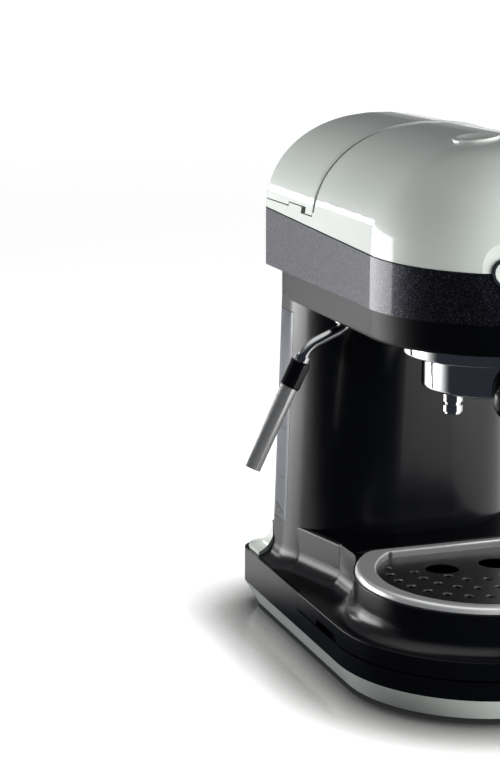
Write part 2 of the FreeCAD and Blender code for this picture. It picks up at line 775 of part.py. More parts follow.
def drip_tray():
    """Pull-out basin with the upper plinth wall in front of it."""
    rear = SPLIT_Y - SEAM
    low = TRAY_DECK_Z + SEAM
    bulge = raised(tray_outline(TRAY_R, ARM_HALF, rear, LEDGE_Z), TRAY_WALL_TOP_Z - LEDGE_Z)
    bulge = bulge.makeFillet(TRAY_BLEND_R, edges_at(bulge, is_tray_corner))
    outline = round_front_outline(BASE_HALF, BASE_FRONT_Y, BASE_REAR_Y, BASE_CORNER, low)
    skirt = raised(outline, LEDGE_Z - low).common(block(-FAR, FAR, -FAR, rear, 0, FAR))
    tray = skirt.fuse(bulge).removeSplitter()
    tray = tray.makeFillet(COVE_R, edges_at(tray, is_tray_cove))
    tray = tray.fuse(tray_shoulder(bulge, rear)).removeSplitter()
    basin = tray_outline(TRAY_R - WALL, ARM_HALF - WALL, COVER_CHORD_Y - WALL, low + WALL)
    tray = tray.cut(raised(basin, FAR))
    behind = ARM_HALF - WALL
    tray = tray.cut(block(-behind, behind, COVER_CHORD_Y, rear - WALL, 0, ARM_TOP_Z - WALL))
    tray = tray.cut(tray_underside(low, rear))
    tray = tray.cut(raised(outline, SKIRT_LIFT).cut(raised(tray_outline(TRAY_R, ARM_HALF, rear, low), FAR)))
    for side in (-1, 1):
        x = side * BASE_HALF
        tray = tray.cut(block(x - GRIP_DEPTH, x + GRIP_DEPTH, GRIP_FRONT_Y, GRIP_REAR_Y, 0, GRIP_TOP_Z))
    return tray


def tray_shoulder(bulge, rear):
    """Raised rear of the tray, flush with the arms and sinking forwards round the cover."""
    low = TRAY_WALL_TOP_Z
    profile = [(SHOULDER_FRONT_Y - SHOULDER_RAMP, low), (rear, low), (rear, ARM_TOP_Z),
               (SHOULDER_FRONT_Y, ARM_TOP_Z)]
    shoulder = bulge.copy()
    shoulder.translate(UP * (ARM_TOP_Z - low))
    shoulder = shoulder.common(side_prism(profile))
    room = raised(cover_outline(-SEAM, low), ARM_TOP_Z - low)
    return shoulder.cut(room.makeFillet(COVER_CORNER + SEAM, edges_at(room, is_upright)))


def tray_underside(low, rear):
    """Hollow below the tray's ledge, between its outer wall and the basin."""
    height = LEDGE_Z - WALL - low
    outline = round_front_outline(BASE_HALF - WALL, BASE_FRONT_Y, BASE_REAR_Y, BASE_CORNER, low)
    outer = raised(outline, height).common(block(-FAR, FAR, -FAR, GRIP_FRONT_Y - WALL, 0, FAR))
    inner_half = BASE_HALF - GRIP_DEPTH - WALL
    inner = raised(round_front_outline(inner_half, BASE_FRONT_Y, BASE_REAR_Y, BASE_CORNER, low), height)
    inner = inner.common(block(-FAR, FAR, -FAR, rear - WALL, 0, FAR))
    return outer.fuse(inner).cut(raised(tray_outline(TRAY_R, ARM_HALF, rear, low), height))


def drain_holes():
    """Rings of small holes in front of the two large ones."""
    holes = []
    top = plate_low_z() + COVER_SHEET
    for index in range(DRAIN_RINGS):
        radius = DRAIN_RADIUS - DRAIN_RING_STEP * index
        step = math.degrees(DRAIN_PITCH / radius)
        count = int(DRAIN_SWEEP_DEG / step)
        for k in range(-count, count + 1):
            place = polar(radius, k * step, 0, DRAIN_CENTRE_Y)
            beside = abs(place.x) > STREAM_HOLE_X + DRAIN_CLEAR
            if index == 0 or place.y < STREAM_HOLE_Y - DRAIN_CLEAR or beside:
                mouth = Vector(place.x, place.y, top - DRAIN_MOUTH_DEPTH)
                holes.append(disc(DRAIN_HOLE_R, 0, FAR, place.x, place.y))
                holes.append(Part.makeCone(DRAIN_HOLE_R, DRAIN_MOUTH_R, DRAIN_MOUTH_DEPTH, mouth))
    return holes


def cover_outline(inset, z):
    """Round front cut off by a chord, with rounded rear corners."""
    radius = COVER_R - inset
    chord = COVER_CHORD_Y - inset
    reach = math.sqrt(radius * radius - (chord - TRAY_CENTRE_Y) ** 2)
    ends = [Vector(-reach, chord, z), Vector(reach, chord, z)]
    edges = [arc(ends[0], Vector(0, TRAY_CENTRE_Y - radius, z), ends[1]), line(ends[1], ends[0])]
    return Part.Wire(edges)


def is_upright(box):
    return box.ZLength > 0.5 and box.XLength < TOUCH and box.YLength < TOUCH


def plate_low_z():
    return TRAY_WALL_TOP_Z + SEAM - PLATE_SINK


def plate_outline(inset, z):
    """Outline of the sunken plate, which isn't concentric with the rim."""
    radius = PLATE_R - inset
    chord = PLATE_CHORD_Y - inset
    reach = math.sqrt(radius * radius - (chord - PLATE_CENTRE_Y) ** 2)
    ends = [Vector(-reach, chord, z), Vector(reach, chord, z)]
    edges = [arc(ends[0], Vector(0, PLATE_CENTRE_Y - radius, z), ends[1]), line(ends[1], ends[0])]
    return Part.Wire(edges)


def is_inner_rim(box):
    """Top edge of the rim on the plate's side."""
    inside = box.YMin > PLATE_CENTRE_Y - PLATE_R - TOUCH and box.YMax < PLATE_CHORD_Y + TOUCH
    return inside and box.ZMin > COVER_TOP_Z - TOUCH


def drip_cover():
    """Steel cover with a rolled rim and a sunken, pierced plate."""
    low = TRAY_WALL_TOP_Z + SEAM
    cover = raised(cover_outline(0, low), COVER_TOP_Z - low)
    cover = cover.makeFillet(COVER_CORNER, edges_at(cover, is_upright))
    cover = cover.makeFillet(COVER_ROLL, edges_at(cover, lambda box: box.ZMin > COVER_TOP_Z - TOUCH))
    well = raised(plate_outline(0, low - SEAM), FAR)
    well = well.makeFillet(PLATE_CORNER, edges_at(well, is_upright))
    cover = cover.cut(well)
    cover = cover.makeFillet(COVER_INNER_ROLL, edges_at(cover, is_inner_rim))
    pan = raised(plate_outline(-COVER_SHEET, plate_low_z()), low + COVER_SHEET - plate_low_z())
    pan = pan.makeFillet(PLATE_CORNER + COVER_SHEET, edges_at(pan, is_upright))
    sunk = raised(plate_outline(0, plate_low_z() + COVER_SHEET), FAR)
    sunk = sunk.makeFillet(PLATE_CORNER, edges_at(sunk, is_upright))
    cover = cover.fuse(pan.cut(sunk)).removeSplitter()
    for x in (-STREAM_HOLE_X, STREAM_HOLE_X):
        cover = cover.cut(disc(STREAM_HOLE_R, 0, FAR, x, STREAM_HOLE_Y))
    return cover.cut(Part.makeCompound(drain_holes()))


# Head

def band_top_z(y):
    return BAND_FRONT_TOP_Z + BAND_SLOPE * (y - HEAD_CENTRE_Y + BAND_HALF)


def above_band_line(lift=0.0):
    front_z = band_top_z(-FAR) + lift
    rear_z = band_top_z(FAR) + lift
    return side_prism([(-FAR, front_z), (FAR, rear_z), (FAR, 2 * FAR), (-FAR, 2 * FAR)])


def below_band_line():
    return side_prism([(-FAR, 0), (FAR, 0), (FAR, band_top_z(FAR)), (-FAR, band_top_z(-FAR))])


def head_fascia():
    """Black lower shell of the head with its floor; it stands on the column."""
    low = round_front_outline(FASCIA_LOW_HALF, HEAD_CENTRE_Y, FASCIA_REAR_Y, BAND_CORNER, COLUMN_TOP_Z)
    high = round_front_outline(FASCIA_TOP_HALF, HEAD_CENTRE_Y, FASCIA_REAR_Y, BAND_CORNER, BAND_LOW_Z)
    outside = Part.makeLoft([low, high], True, True)
    low_edges = edges_at(outside, lambda box: box.ZMax < COLUMN_TOP_Z + TOUCH)
    outside = outside.makeFillet(FASCIA_EDGE_R, low_edges)
    neck = raised(column_outline(COLUMN_TOP_HALF, 0, COLUMN_TOP_Z), BAND_LOW_Z - COLUMN_TOP_Z)
    neck_hollow = raised(column_outline(COLUMN_TOP_HALF, WALL, FASCIA_FLOOR_Z), FAR)
    inner = round_front_outline(FASCIA_LOW_HALF - WALL, HEAD_CENTRE_Y, FASCIA_REAR_Y - WALL,
                                BAND_CORNER - WALL, FASCIA_FLOOR_Z)
    shell = fused([outside, neck]).cut(raised(inner, FAR)).cut(neck_hollow)
    shell = shell.cut(disc(BOILER_R + SEAM, 0, FAR))
    shell = shell.cut(disc(FITTING_R, 0, FAR, WAND_X, WAND_Y))
    shell = shell.cut(disc(SPOUT_R + SEAM, 0, FAR, 0, SPOUT_Y))
    shell = shell.cut(disc(PIPE_R + 1, 0, FAR, PIPE_X, PIPE_Y))
    for place in group_screw_places():
        shell = shell.cut(disc(M4_R, 0, FAR, place.x, place.y))
    return shell


def head_band():
    """Dark band round the head, open above and below, with a lip that rests on the fascia."""
    inner_half = BAND_HALF - WALL
    mouth_half = BAND_HALF - BAND_LIP
    outer = round_front_outline(BAND_HALF, HEAD_CENTRE_Y, BAND_REAR_Y, BAND_CORNER, BAND_LOW_Z)
    inner = round_front_outline(inner_half, HEAD_CENTRE_Y, BAND_REAR_Y - WALL, BAND_CORNER - WALL,
                                BAND_LOW_Z + WALL)
    mouth = round_front_outline(mouth_half, HEAD_CENTRE_Y, BAND_REAR_Y - BAND_LIP, BAND_CORNER, BAND_LOW_Z)
    band = raised(outer, FAR).cut(raised(inner, FAR)).cut(raised(mouth, FAR)).common(below_band_line())
    return band.cut(fused(button_recesses()))


def dome_height(x, inset):
    share = min(abs(x) / (DOME_HALF - inset), 1.0)
    return (DOME_HEIGHT - inset) * (1 - share ** DOME_POWER) ** (1 / DOME_POWER)


def dome_half_section(inset):
    """Right half of the dome's cross-section at the middle of the round front."""
    half = DOME_HALF - inset
    points = []
    for k in range(DOME_POINTS + 1):
        angle = math.pi / 2 * k / DOME_POINTS
        x = half * math.cos(angle) ** (2 / DOME_POWER)
        z = DOME_BASE_Z + (DOME_HEIGHT - inset) * math.sin(angle) ** (2 / DOME_POWER)
        points.append(Vector(x if k < DOME_POINTS else 0, HEAD_CENTRE_Y, z))
    curve = Part.BSplineCurve()
    curve.interpolate(points, InitialTangent=Vector(0, 0, 1), FinalTangent=Vector(-1, 0, 0))
    foot = Vector(half, HEAD_CENTRE_Y, BAND_LOW_Z)
    axis_foot = Vector(0, HEAD_CENTRE_Y, BAND_LOW_Z)
    edges = [line(axis_foot, foot), line(foot, points[0]), curve.toShape(), line(points[-1], axis_foot)]
    return Part.Face(Part.Wire(edges))


def dome_solid(inset):
    """Dome volume: an arch swept to the back and turned round the front."""
    section = dome_half_section(inset)
    front = section.revolve(Vector(0, HEAD_CENTRE_Y, 0), UP, -180)
    length = BAND_REAR_Y - 0.5 - inset - HEAD_CENTRE_Y
    right = section.extrude(BACK * length)
    arch = right.fuse(right.mirror(Vector(0, 0, 0), RIGHT)).removeSplitter()
    rear_y = HEAD_CENTRE_Y + length
    arch = arch.makeFillet(DOME_EDGE_R - inset, edges_at(arch, lambda box: is_dome_rear_edge(box, rear_y)))
    return arch.fuse(front).removeSplitter()


def is_dome_rear_edge(box, rear_y):
    return box.YMin > rear_y - 0.5 and box.ZLength > 1 and box.XLength < 2 * DOME_HALF + 1


def lid_region(gap):
    """Everything behind the leaning seam and above the stepped line, drawn in by a gap."""
    tab = LID_LINE_Z + LID_TAB_RISE + gap
    top = DOME_BASE_Z + DOME_HEIGHT
    lean = LID_SEAM_LEAN / (top - LID_NOTCH_Z)
    seam_low = LID_SEAM_LOW_Y + gap
    points = [(seam_low, LID_NOTCH_Z + gap), (LID_NOTCH_FRONT_Y + gap, LID_NOTCH_Z + gap)]
    if gap > 0:
        points.append((LID_NOTCH_FRONT_Y + gap, tab))
    else:
        points.append((LID_TAB_FRONT_Y, LID_NOTCH_Z))
        points.append((LID_TAB_FRONT_Y, tab))
    points += [(LID_TAB_REAR_Y + gap, tab), (LID_TAB_REAR_Y + gap, LID_LINE_Z + gap)]
    points += [(FAR, LID_LINE_Z + gap), (FAR, FAR), (seam_low + lean * (FAR - LID_NOTCH_Z), FAR)]
    return side_prism(points)


def dome_shell():
    return dome_solid(0).cut(dome_solid(WALL)).common(above_band_line(DOME_SEAM))


def knuckle(x, radius, length):
    return rod(radius, Vector(x - length / 2, HINGE_Y, LID_LINE_Z), RIGHT, length)


def knuckle_web(x, length, low_z, high_z):
    """Web that ties a knuckle to the wall in front of it."""
    return block(x - length / 2, x + length / 2, BAND_REAR_Y - WALL, HINGE_Y, low_z, high_z)


def lid_knuckle_places():
    return (-KNUCKLE_X, KNUCKLE_X)


def dome_knuckle_places():
    shift = KNUCKLE_LENGTH + SEAM
    return [x + side * shift for x in (-KNUCKLE_X, KNUCKLE_X) for side in (-1, 1)]


def dome_cover():
    """Pale front of the dome with the rim that runs round under the lid."""
    cover = dome_shell().cut(lid_region(0))
    for x in lid_knuckle_places():
        cover = cover.cut(knuckle(x, HINGE_R + KNUCKLE_PLAY, KNUCKLE_LENGTH + 2 * SEAM))
    knuckles = [knuckle(x, HINGE_R, KNUCKLE_LENGTH) for x in dome_knuckle_places()]
    webs = [knuckle_web(x, KNUCKLE_LENGTH, LID_LINE_Z - HINGE_R, LID_LINE_Z) for x in dome_knuckle_places()]
    cover = fused([cover] + knuckles + webs)
    inside = dome_solid(WALL)
    cover = cover.cut(inside.common(block(-FAR, FAR, BAND_REAR_Y - LEAF_REACH, FAR, 0, FAR)))
    cover = cover.cut(rod(HINGE_PIN_R, Vector(-FAR, HINGE_Y, LID_LINE_Z), RIGHT, 2 * FAR))
    outside = dome_solid(0)
    for side in (-1, 1):
        place, axis = dial_frame(side)
        sleeve = rod(DIAL_R + DIAL_GAP + WELL_SLEEVE, place + axis * 4, axis * -1, DIAL_DEPTH + WALL + 4)
        cover = cover.fuse(sleeve.common(outside)).removeSplitter()
    for side in (-1, 1):
        place, axis = dial_frame(side)
        cover = cover.cut(rod(DIAL_R + DIAL_GAP, place - axis * (DIAL_DEPTH + SEAM), axis, FAR))
        cover = cover.cut(rod(STEM_R + RUNNING, place, axis * -1, FAR))
    return cover.cut(fused(button_recesses()))


def rear_lid():
    """Pale rear lid over the filler well, hinged along its low rear edge."""
    lid = dome_shell().common(lid_region(LID_GAP))
    for x in dome_knuckle_places():
        lid = lid.cut(knuckle(x, HINGE_R + KNUCKLE_PLAY, KNUCKLE_LENGTH + 2 * SEAM))
    knuckles = [knuckle(x, HINGE_R, KNUCKLE_LENGTH) for x in lid_knuckle_places()]
    low = LID_LINE_Z + LID_GAP
    webs = [knuckle_web(x, KNUCKLE_LENGTH, low, LID_LINE_Z + HINGE_R) for x in lid_knuckle_places()]
    lid = fused([lid] + knuckles + webs)
    inside = dome_solid(WALL)
    lid = lid.cut(inside.common(block(-FAR, FAR, BAND_REAR_Y - LEAF_REACH, FAR, 0, FAR)))
    return lid.cut(rod(HINGE_PIN_R + RUNNING, Vector(-FAR, HINGE_Y, LID_LINE_Z), RIGHT, 2 * FAR))


def hinge_pins():
    length = 3 * KNUCKLE_LENGTH + 2 * SEAM
    return Part.makeCompound([knuckle(x, HINGE_PIN_R, length) for x in lid_knuckle_places()])


def filler_well():
    """Funnel under the lid: a bulkhead, a basin and a spout down to the tank."""
    basin = block(-WELL_HALF, WELL_HALF, WELL_FRONT_Y, WELL_REAR_Y, WELL_FLOOR_Z, WELL_TOP_Z)
    inner = WELL_HALF - WELL_WALL
    hollow = block(-inner, inner, WELL_FRONT_Y + WELL_WALL, WELL_REAR_Y - WELL_WALL,
                   WELL_FLOOR_Z + WELL_WALL, FAR)
    bulkhead = dome_solid(WALL + SEAM).common(block(-FAR, FAR, WELL_FRONT_Y, WELL_FRONT_Y + WELL_WALL,
                                                    WELL_FLOOR_Z, FAR))
    tube = disc(SPOUT_R, BAY_ROOF_Z, WELL_FLOOR_Z + 1, 0, SPOUT_Y)
    flange = disc(SPOUT_R + 7, FASCIA_FLOOR_Z, FASCIA_FLOOR_Z + WELL_WALL, 0, SPOUT_Y)
    well = fused([basin.cut(hollow), bulkhead, tube, flange])
    return well.cut(disc(SPOUT_R - WELL_WALL, 0, FAR, 0, SPOUT_Y))


# Brewing group

def group_screw_places():
    return [polar(BOILER_BOLT_R, 45 + 360 / GROUP_SCREWS * k, 0) for k in range(GROUP_SCREWS)]


def sector(radius, middle_deg, spread_deg, z0, z1):
    """Wedge about the group axis."""
    start = polar(radius, middle_deg - spread_deg / 2, z0)
    middle = polar(radius, middle_deg, z0)
    end = polar(radius, middle_deg + spread_deg / 2, z0)
    centre = Vector(0, 0, z0)
    wire = Part.Wire([line(centre, start), arc(start, middle, end), line(end, centre)])
    return raised(wire, z1 - z0)


def group_flange():
    """Chrome ring with the bayonet lip that holds the portafilter."""
    flange = disc(FLANGE_R, FLANGE_LOW_Z, COLUMN_TOP_Z)
    flange = flange.makeFillet(FLANGE_EDGE_R, edges_at(flange, lambda box: box.ZMax < FLANGE_LOW_Z + TOUCH))
    flange = flange.cut(disc(EAR_CAVITY_R, FLANGE_LOW_Z + FLANGE_LIP, FAR))
    flange = flange.cut(disc(CUP_R + SEAM, 0, FAR))
    for side in (0, 180):
        middle = 90 + side + LOCK_TURN_DEG
        flange = flange.cut(sector(EAR_CAVITY_R, middle, EAR_SPREAD_DEG + 4, FLANGE_LOW_Z,
                                   FLANGE_LOW_Z + FLANGE_LIP))
    for place in group_screw_places():
        flange = flange.cut(disc(M4_R, COLUMN_TOP_Z - 6, FAR, place.x, place.y))
    return flange


def group_gasket():
    return ring(GASKET_OUT_R, GASKET_IN_R, GASKET_LOW_Z, GASKET_LOW_Z + GASKET_H)


def shower_screen():
    screen = ring(SCREEN_R, 2.0, SCREEN_TOP_Z - SCREEN_H, SCREEN_TOP_Z)
    for index in (1, 2, 3):
        for k in range(8 * index):
            place = polar(SCREEN_PITCH * index, 45 / index * k, 0)
            screen = screen.cut(disc(SCREEN_HOLE_R, 0, FAR, place.x, place.y))
    return screen


def shower_screw():
    low = SCREEN_TOP_Z - SCREEN_H
    shank = disc(2.0, low, SCREEN_TOP_Z + PILOT_DEPTH)
    return shank.fuse(disc(SCREEN_SCREW_HEAD_R, low - SCREEN_SCREW_HEAD_H, low)).removeSplitter()


def bolt_ring(count, offset_deg):
    return [polar(BOILER_BOLT_R, offset_deg + 360 / count * k, 0) for k in range(count)]


def boiler_base():
    """Lower half of the boiler; its boss carries gasket and screen."""
    base = disc(BOILER_R, SCREEN_TOP_Z, BOILER_JOINT_Z)
    foot = disc(BOILER_FLANGE_R, FASCIA_FLOOR_Z, FASCIA_FLOOR_Z + 1.5 * BOILER_FLANGE_H)
    top = disc(BOILER_FLANGE_R, BOILER_JOINT_Z - BOILER_FLANGE_H, BOILER_JOINT_Z)
    base = fused([base, foot, top]).cut(disc(BOILER_BORE_R, FASCIA_FLOOR_Z + BOILER_FLOOR, FAR))
    base = base.cut(ring(GASKET_OUT_R, GASKET_IN_R, 0, GASKET_LOW_Z + GASKET_H))
    base = base.cut(disc(2.0, 0, SCREEN_TOP_Z + PILOT_DEPTH))
    for place in group_screw_places():
        base = base.cut(disc(M4_R, 0, FASCIA_FLOOR_Z + PILOT_DEPTH, place.x, place.y))
    for place in bolt_ring(BOILER_BOLTS, 0):
        base = base.cut(disc(M4_R, BOILER_JOINT_Z - BOILER_FLANGE_H, FAR, place.x, place.y))
    base = base.cut(rod(PIPE_R, Vector(INLET_X, 0, PIPE_Z), BACK, BOILER_R + 1))
    for x in ELEMENT_LEGS_X:
        base = base.cut(rod(ELEMENT_R, Vector(x, 0, ELEMENT_Z), BACK, BOILER_R + 1))
    return base


def boiler_top():
    """Upper half of the boiler with a slanting seat for the steam valve."""
    low = BOILER_JOINT_Z
    place, axis = dial_frame(-1)
    seat = rod(VALVE_R + 2, place - axis * (VALVE_TOP_DEPTH + VALVE_HEIGHT), axis * -1, 12)
    top = fused([disc(BOILER_R, low, BOILER_TOP_Z), disc(BOILER_FLANGE_R, low, low + BOILER_FLANGE_H), seat])
    top = top.cut(disc(BOILER_BORE_R, low, BOILER_TOP_Z - BOILER_ROOF))
    for bolt in bolt_ring(BOILER_BOLTS, 0):
        top = top.cut(disc(M4_R, 0, FAR, bolt.x, bolt.y))
    return top


def headed_bolts(places, head_z, length):
    bolts = []
    for place in places:
        shank = disc(M4_R, head_z - length, head_z, place.x, place.y)
        head = disc(M4_HEAD_R, head_z, head_z + M4_HEAD_H, place.x, place.y)
        bolts.append(shank.fuse(head).removeSplitter())
    return Part.makeCompound(bolts)


def boiler_bolts():
    return headed_bolts(bolt_ring(BOILER_BOLTS, 0), BOILER_JOINT_Z + BOILER_FLANGE_H, 2 * BOILER_FLANGE_H)


def group_screws():
    head_z = FASCIA_FLOOR_Z + 1.5 * BOILER_FLANGE_H
    return headed_bolts(group_screw_places(), head_z, head_z - COLUMN_TOP_Z + GROUP_SCREW_BITE)


def heating_element():
    """Open ring in the boiler with two legs out through its back."""
    hoop = Part.makeTorus(ELEMENT_RING_R, ELEMENT_R, Vector(0, 0, ELEMENT_Z), UP)
    legs = []
    for x in ELEMENT_LEGS_X:
        legs.append(rod(ELEMENT_R, Vector(x, ELEMENT_RING_R - ELEMENT_TUCK, ELEMENT_Z), BACK, ELEMENT_LEG))
    return fused([hoop] + legs)


def thermostats():
    discs = []
    for x in (-THERMOSTAT_X, THERMOSTAT_X):
        discs.append(disc(THERMOSTAT_R, BOILER_TOP_Z, BOILER_TOP_Z + THERMOSTAT_H, x, THERMOSTAT_Y))
    return Part.makeCompound(discs)


# Portafilter

def handle_axis():
    slope = math.radians(HANDLE_SLOPE_DEG)
    return Vector(0, -math.cos(slope), -math.sin(slope))


def handle_point(reach):
    return Vector(0, 0, HANDLE_Z) + handle_axis() * reach


def portafilter_cup():
    """Chrome cup with bayonet ears, twin spouts and the stub of the handle."""
    cup = disc(CUP_R, CUP_FLOOR_Z, CUP_TOP_Z)
    cup = cup.makeFillet(CUP_EDGE_R, edges_at(cup, lambda box: box.ZMax < CUP_FLOOR_Z + TOUCH))
    parts = [cup]
    ear_low = FLANGE_LOW_Z + FLANGE_LIP + SEAM
    for side in (0, 180):
        parts.append(sector(EAR_R, 90 + side, EAR_SPREAD_DEG, ear_low, CUP_TOP_Z))
    parts.append(rod(FERRULE_R, handle_point(CUP_R - 3), handle_axis(), COLLAR_START - CUP_R + 3))
    for x in (-NOZZLE_X, NOZZLE_X):
        parts.append(disc(NOZZLE_UPPER_R, NOZZLE_STEP_Z, CUP_FLOOR_Z + 1, x))
        parts.append(disc(NOZZLE_LOWER_R, NOZZLE_LOW_Z, NOZZLE_STEP_Z, x))
        parts.append(disc(NOZZLE_UPPER_R, NOZZLE_LOW_Z + 1.2, NOZZLE_STEP_Z - 1.8, x))
    cup = fused(parts).cut(disc(CUP_R - CUP_WALL, CUP_FLOOR_Z + 3, FAR))
    for x in (-NOZZLE_X, NOZZLE_X):
        cup = cup.cut(disc(NOZZLE_BORE_R, 0, CUP_FLOOR_Z + 4, x))
    return cup


def filter_basket():
    """Thin steel basket whose rim lies on the cup."""
    outer = disc(BASKET_R, BASKET_FLOOR_Z, CUP_TOP_Z)
    rim = disc(BASKET_RIM_R, CUP_TOP_Z, CUP_TOP_Z + BASKET_RIM)
    hollow = disc(BASKET_R - BASKET_SHEET, BASKET_FLOOR_Z + BASKET_SHEET, FAR)
    basket = outer.fuse(rim).removeSplitter().cut(hollow)
    for index in (1, 2, 3):
        for k in range(6 * index):
            place = polar(BASKET_PITCH * index, 60 / index * k, 0)
            basket = basket.cut(disc(BASKET_HOLE_R, 0, BASKET_FLOOR_Z + 1, place.x, place.y))
    return basket


def turned(profile):
    """Solid turned about the handle's axis from (reach, radius) points joined smoothly."""
    side = Vector(1, 0, 0)
    axis = handle_axis()
    start, end = profile[0], profile[-1]
    points = [handle_point(reach) + side * radius for reach, radius in profile]
    curve = Part.BSplineCurve()
    curve.interpolate(points)
    edges = [line(handle_point(start[0]), points[0]), curve.toShape()]
    if end[1] > 0.01:
        edges.append(line(points[-1], handle_point(end[0])))
    edges.append(line(handle_point(end[0]), handle_point(start[0])))
    face = Part.Face(Part.Wire(edges))
    return face.revolve(handle_point(0), axis, 360)


def handle_collar():
    """Black collar between cup and handle."""
    end = COLLAR_START + COLLAR_LENGTH
    profile = [(COLLAR_START, COLLAR_R - 2), (COLLAR_START + 3, COLLAR_R), (end - 6, COLLAR_R - 2.5),
               (end, HANDLE_NECK_R)]
    widen = FreeCAD.Matrix()
    widen.scale(COLLAR_WIDTH, 1, 1)
    return turned(profile).transformGeometry(widen)


def portafilter_handle():
    """Black grip that swells towards its rounded end."""
    start = COLLAR_START + COLLAR_LENGTH
    length = HANDLE_LENGTH
    profile = [(start, HANDLE_NECK_R), (start + 0.3 * length, HANDLE_NECK_R + 0.6),
               (start + 0.75 * length, HANDLE_SWELL_R), (start + 0.93 * length, HANDLE_SWELL_R - 2),
               (start + length, 5.0)]
    return turned(profile)


# Steam wand

def wand_axis():
    lean = math.radians(WAND_LEAN_DEG)
    return Vector(-math.sin(lean), 0, -math.cos(lean))


def wand_elbow():
    fall = WAND_REACH * math.tan(math.radians(WAND_SLOPE_DEG))
    return Vector(WAND_X - WAND_REACH, WAND_Y, WAND_KNEE_Z - fall)


def grip_top():
    return wand_elbow() + wand_axis() * GRIP_DROP


def wand_route():
    """Down through the fitting, out to the side below the head, then down along the grip."""
    top = Vector(WAND_X, WAND_Y, WAND_TOP_Z)
    knee = Vector(WAND_X, WAND_Y, WAND_KNEE_Z)
    return [top, knee, wand_elbow(), grip_top() + wand_axis() * WAND_INSERT]


def wand_pipe():
    return pipe(wand_route(), WAND_R, WAND_R - 1, (WAND_KNEE_R, WAND_ELBOW_R))


def wand_collar():
    start = grip_top() - wand_axis() * (3 + SEAM)
    ring = rod(WAND_COLLAR_R, start, wand_axis(), WAND_COLLAR_H)
    return ring.cut(rod(WAND_R, start, wand_axis(), WAND_COLLAR_H))


def wand_grip():
    start = grip_top()
    grip = rod(GRIP_R, start, wand_axis(), GRIP_LENGTH)
    rounded = [edge for edge in grip.Edges if edge.Closed]
    grip = grip.makeFillet(GRIP_EDGE_R, rounded)
    grip = grip.cut(rod(WAND_R + RUNNING, start, wand_axis(), GRIP_LENGTH - FROTH_SOCKET))
    return grip.cut(rod(FROTH_R, start + wand_axis() * (GRIP_LENGTH - FROTH_SOCKET), wand_axis(), FAR))


def froth_tube():
    start = grip_top() + wand_axis() * (GRIP_LENGTH - FROTH_SOCKET)
    length = FROTH_LENGTH + FROTH_SOCKET
    tube = rod(FROTH_R, start, wand_axis(), length).cut(rod(FROTH_BORE_R, start, wand_axis(), length))
    air_hole = Part.makeCylinder(AIR_HOLE_R, 2 * FROTH_R, start + wand_axis() * AIR_HOLE_DROP, FORWARD)
    return tube.cut(air_hole)


def wand_nut():
    """Gland nut under the head round the wand's pipe."""
    nut = disc(NUT_R, COLUMN_TOP_Z - NUT_H, COLUMN_TOP_Z, WAND_X, WAND_Y)
    return nut.cut(disc(WAND_R + NUT_PLAY, 0, FAR, WAND_X, WAND_Y))


def wand_fitting():
    """Brass block on the head's floor in which the wand's pipe turns."""
    fitting = disc(FITTING_R, COLUMN_TOP_Z, FASCIA_FLOOR_Z + FITTING_H, WAND_X, WAND_Y)
    flange = disc(FITTING_R + 3, FASCIA_FLOOR_Z, FASCIA_FLOOR_Z + 3, WAND_X, WAND_Y)
    fitting = fitting.fuse(flange).removeSplitter()
    fitting = fitting.cut(disc(WAND_R + RUNNING, 0, WAND_TOP_Z + SEAM, WAND_X, WAND_Y))
    fitting = fitting.cut(disc(WAND_R + WAND_MOUTH, 0, COLUMN_TOP_Z + WAND_MOUTH_RISE, WAND_X, WAND_Y))
    return fitting.cut(disc(WAND_R - 1, 0, FAR, WAND_X, WAND_Y))


# Dials and buttons

def dial_frame(side):
    """Point on the dome under a dial's middle, and the outward direction there."""
    reach = math.hypot(DIAL_X, DIAL_Y - HEAD_CENTRE_Y)
    height = dome_height(reach, 0)
    fall = (dome_height(reach + 0.5, 0) - dome_height(reach - 0.5, 0))
    outward = Vector(side * DIAL_X, DIAL_Y - HEAD_CENTRE_Y, 0).normalize()
    axis = (outward * -fall + UP).normalize()
    return Vector(side * DIAL_X, DIAL_Y, DOME_BASE_Z + height), axis


def dial(side):
    """Dished dial whose raised edge stands just above the dome."""
    place, axis = dial_frame(side)
    body = rod(DIAL_R, place - axis * DIAL_DEPTH, axis, DIAL_DEPTH + DIAL_PROUD)
    rim = [edge for edge in body.Edges if edge.Closed]
    body = body.makeFillet(0.5, rim)
    bowl_r = ((DIAL_R - DIAL_RIM) ** 2 + DIAL_DISH ** 2) / (2 * DIAL_DISH)
    top = place + axis * DIAL_PROUD
    body = body.cut(Part.makeSphere(bowl_r, top + axis * (bowl_r - DIAL_DISH)))
    return body.cut(rod(STEM_R, place - axis * (DIAL_DEPTH + 1), axis, 3))


def stem(side):
    place, axis = dial_frame(side)
    return rod(STEM_R, place - axis * (DIAL_DEPTH - 2), axis * -1, STEM_LENGTH)


def steam_valve():
    """Brass valve on the boiler; the left dial's stem turns in it."""
    place, axis = dial_frame(-1)
    body = rod(VALVE_R, place - axis * VALVE_TOP_DEPTH, axis * -1, VALVE_HEIGHT)
    return body.cut(rod(STEM_R + RUNNING, place, axis * -1, DIAL_DEPTH + STEM_LENGTH - 2 + SEAM))


def selector_switch():
    """Switch under the right dial, held against the dial's well."""
    place, axis = dial_frame(1)
    body = rod(SWITCH_R, place - axis * (DIAL_DEPTH + WALL), axis * -1, SWITCH_H)
    return body.cut(rod(STEM_R + RUNNING, place, axis * -1, SWITCH_H - 2 + DIAL_DEPTH))


def selector_stem():
    place, axis = dial_frame(1)
    return rod(STEM_R, place - axis * (DIAL_DEPTH - 2), axis * -1, SWITCH_H - 3)


